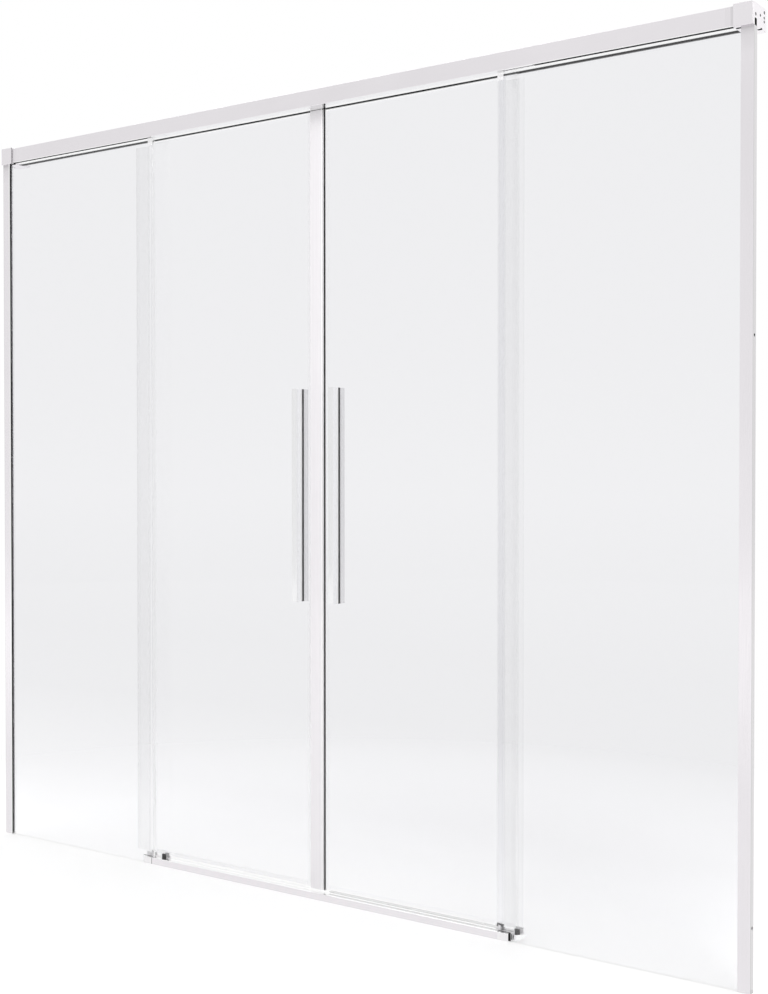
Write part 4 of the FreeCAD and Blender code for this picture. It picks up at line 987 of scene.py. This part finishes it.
# Painted light: seen through the glass, the floor glows more near the screen, filling the glass's
# shadow.
behind = span(tree, deep, (GLOW_START, GLOW_END), (NEAR_GLOW, FAR_GLOW))
seen_straight = reckon(tree, "MULTIPLY", path.outputs["Is Camera Ray"], FLOOR_GLOW)
glow = tree.nodes.new("ShaderNodeEmission")
tree.links.new(either(tree, seen_straight, both(tree, through_glass, behind)),
               glow.inputs["Strength"])
paler = tree.nodes.new("ShaderNodeAddShader")
tree.links.new(shader.outputs["BSDF"], paler.inputs[0])
tree.links.new(glow.outputs["Emission"], paler.inputs[1])
white = tree.nodes.new("ShaderNodeEmission")
faded = tree.nodes.new("ShaderNodeMixShader")
tree.links.new(span(tree, distance, (FADE_START, FADE_END), (0.0, 1.0)), faded.inputs["Fac"])
tree.links.new(paler.outputs["Shader"], faded.inputs[1])
tree.links.new(white.outputs["Emission"], faded.inputs[2])
mirror = tree.nodes.new("ShaderNodeEmission")
far_out = span(tree, distance, (0.0, FLOOR_RADIUS), (0.0, 1.0))
room_side = tones(tree, far_out, (0.2, NEAR_MIRROR), (0.4, WHITE))
tree.links.new(blend(tree, above(tree, deep, 0.0), room_side, WHITE), mirror.inputs["Color"])
reflected = reckon(tree, "SUBTRACT", path.outputs["Is Glossy Ray"], through_glass)
seen = tree.nodes.new("ShaderNodeMixShader")
tree.links.new(reflected, seen.inputs["Fac"])
tree.links.new(faded.outputs["Shader"], seen.inputs[1])
tree.links.new(mirror.outputs["Emission"], seen.inputs[2])
tree.links.new(seen.outputs["Shader"], tree.nodes["Material Output"].inputs["Surface"])
floor_mesh.materials.append(floor_finish)

SOFT_LIGHT = (0.84, 0.84, 0.84)
ROOM_LOW = (0.87, 0.87, 0.87)
ROOM_LEVEL = (0.845, 0.845, 0.845)
ROOM_HIGH = (0.785, 0.785, 0.785)
BATH_SIDE = (0.93, 0.93, 0.93)
TURN_WIDTH = 0.2
world = bpy.data.worlds.new("studio")
bpy.context.scene.world = world
world.use_nodes = True
tree = world.node_tree
path = tree.nodes.new("ShaderNodeLightPath")
place = tree.nodes.new("ShaderNodeTexCoord")
split = tree.nodes.new("ShaderNodeSeparateXYZ")
tree.links.new(place.outputs["Generated"], split.inputs["Vector"])
height = span(tree, split.outputs["Z"], (-1.0, 1.0), (0.0, 1.0))
room = tones(tree, height, (0.37, ROOM_LOW), (0.5, ROOM_LEVEL), (0.63, ROOM_HIGH), (0.8, WHITE))
bath = tones(tree, height, (0.4, WHITE), (0.5, BATH_SIDE), (0.6, WHITE))
to_the_bath = span(tree, split.outputs["Y"], (-TURN_WIDTH, TURN_WIDTH), (0.0, 1.0))
mirrored = blend(tree, to_the_bath, room, bath)
lit = blend(tree, path.outputs["Is Glossy Ray"], SOFT_LIGHT, mirrored)
straight = either(tree, path.outputs["Is Camera Ray"], path.outputs["Is Transmission Ray"])
tree.links.new(blend(tree, straight, lit, WHITE), tree.nodes["Background"].inputs["Color"])

LAMP_SIZE = 2.4
LAMP_AIM = np.array([0.0, 0.0, 0.7])
LAMPS = {"key": ((2.2, -2.6, 3.6), 55.0), "fill": ((-1.8, 2.4, 3.4), 40.0)}
for name, (spot, power) in LAMPS.items():
    light = bpy.data.lights.new(name, "AREA")
    light.shape = "DISK"
    light.size = LAMP_SIZE
    light.energy = power
    lamp = bpy.data.objects.new(name, light)
    bpy.context.scene.collection.objects.link(lamp)
    lamp.location = spot
    aim = LAMP_AIM - np.array(spot)
    tilt = math.atan2(math.hypot(aim[0], aim[1]), -aim[2])
    lamp.rotation_euler = (tilt, 0.0, math.atan2(-aim[0], aim[1]))

SENSOR_WIDTH = 36.0
LENS_LENGTH = 51.469
NEAREST = 0.05
EYE = (1.63119, -2.09493, 0.78980)
EYE_TILT = math.radians(90.0 - 0.9185)
EYE_TURN = math.radians(35.1924)
lens = bpy.data.cameras.new("camera")
lens.sensor_width = SENSOR_WIDTH
lens.lens = LENS_LENGTH
lens.clip_start = NEAREST
camera = bpy.data.objects.new("camera", lens)
bpy.context.scene.collection.objects.link(camera)
camera.location = EYE
camera.rotation_euler = (EYE_TILT, 0.0, EYE_TURN)
bpy.context.scene.camera = camera
bpy.context.scene.view_settings.view_transform = "Standard"
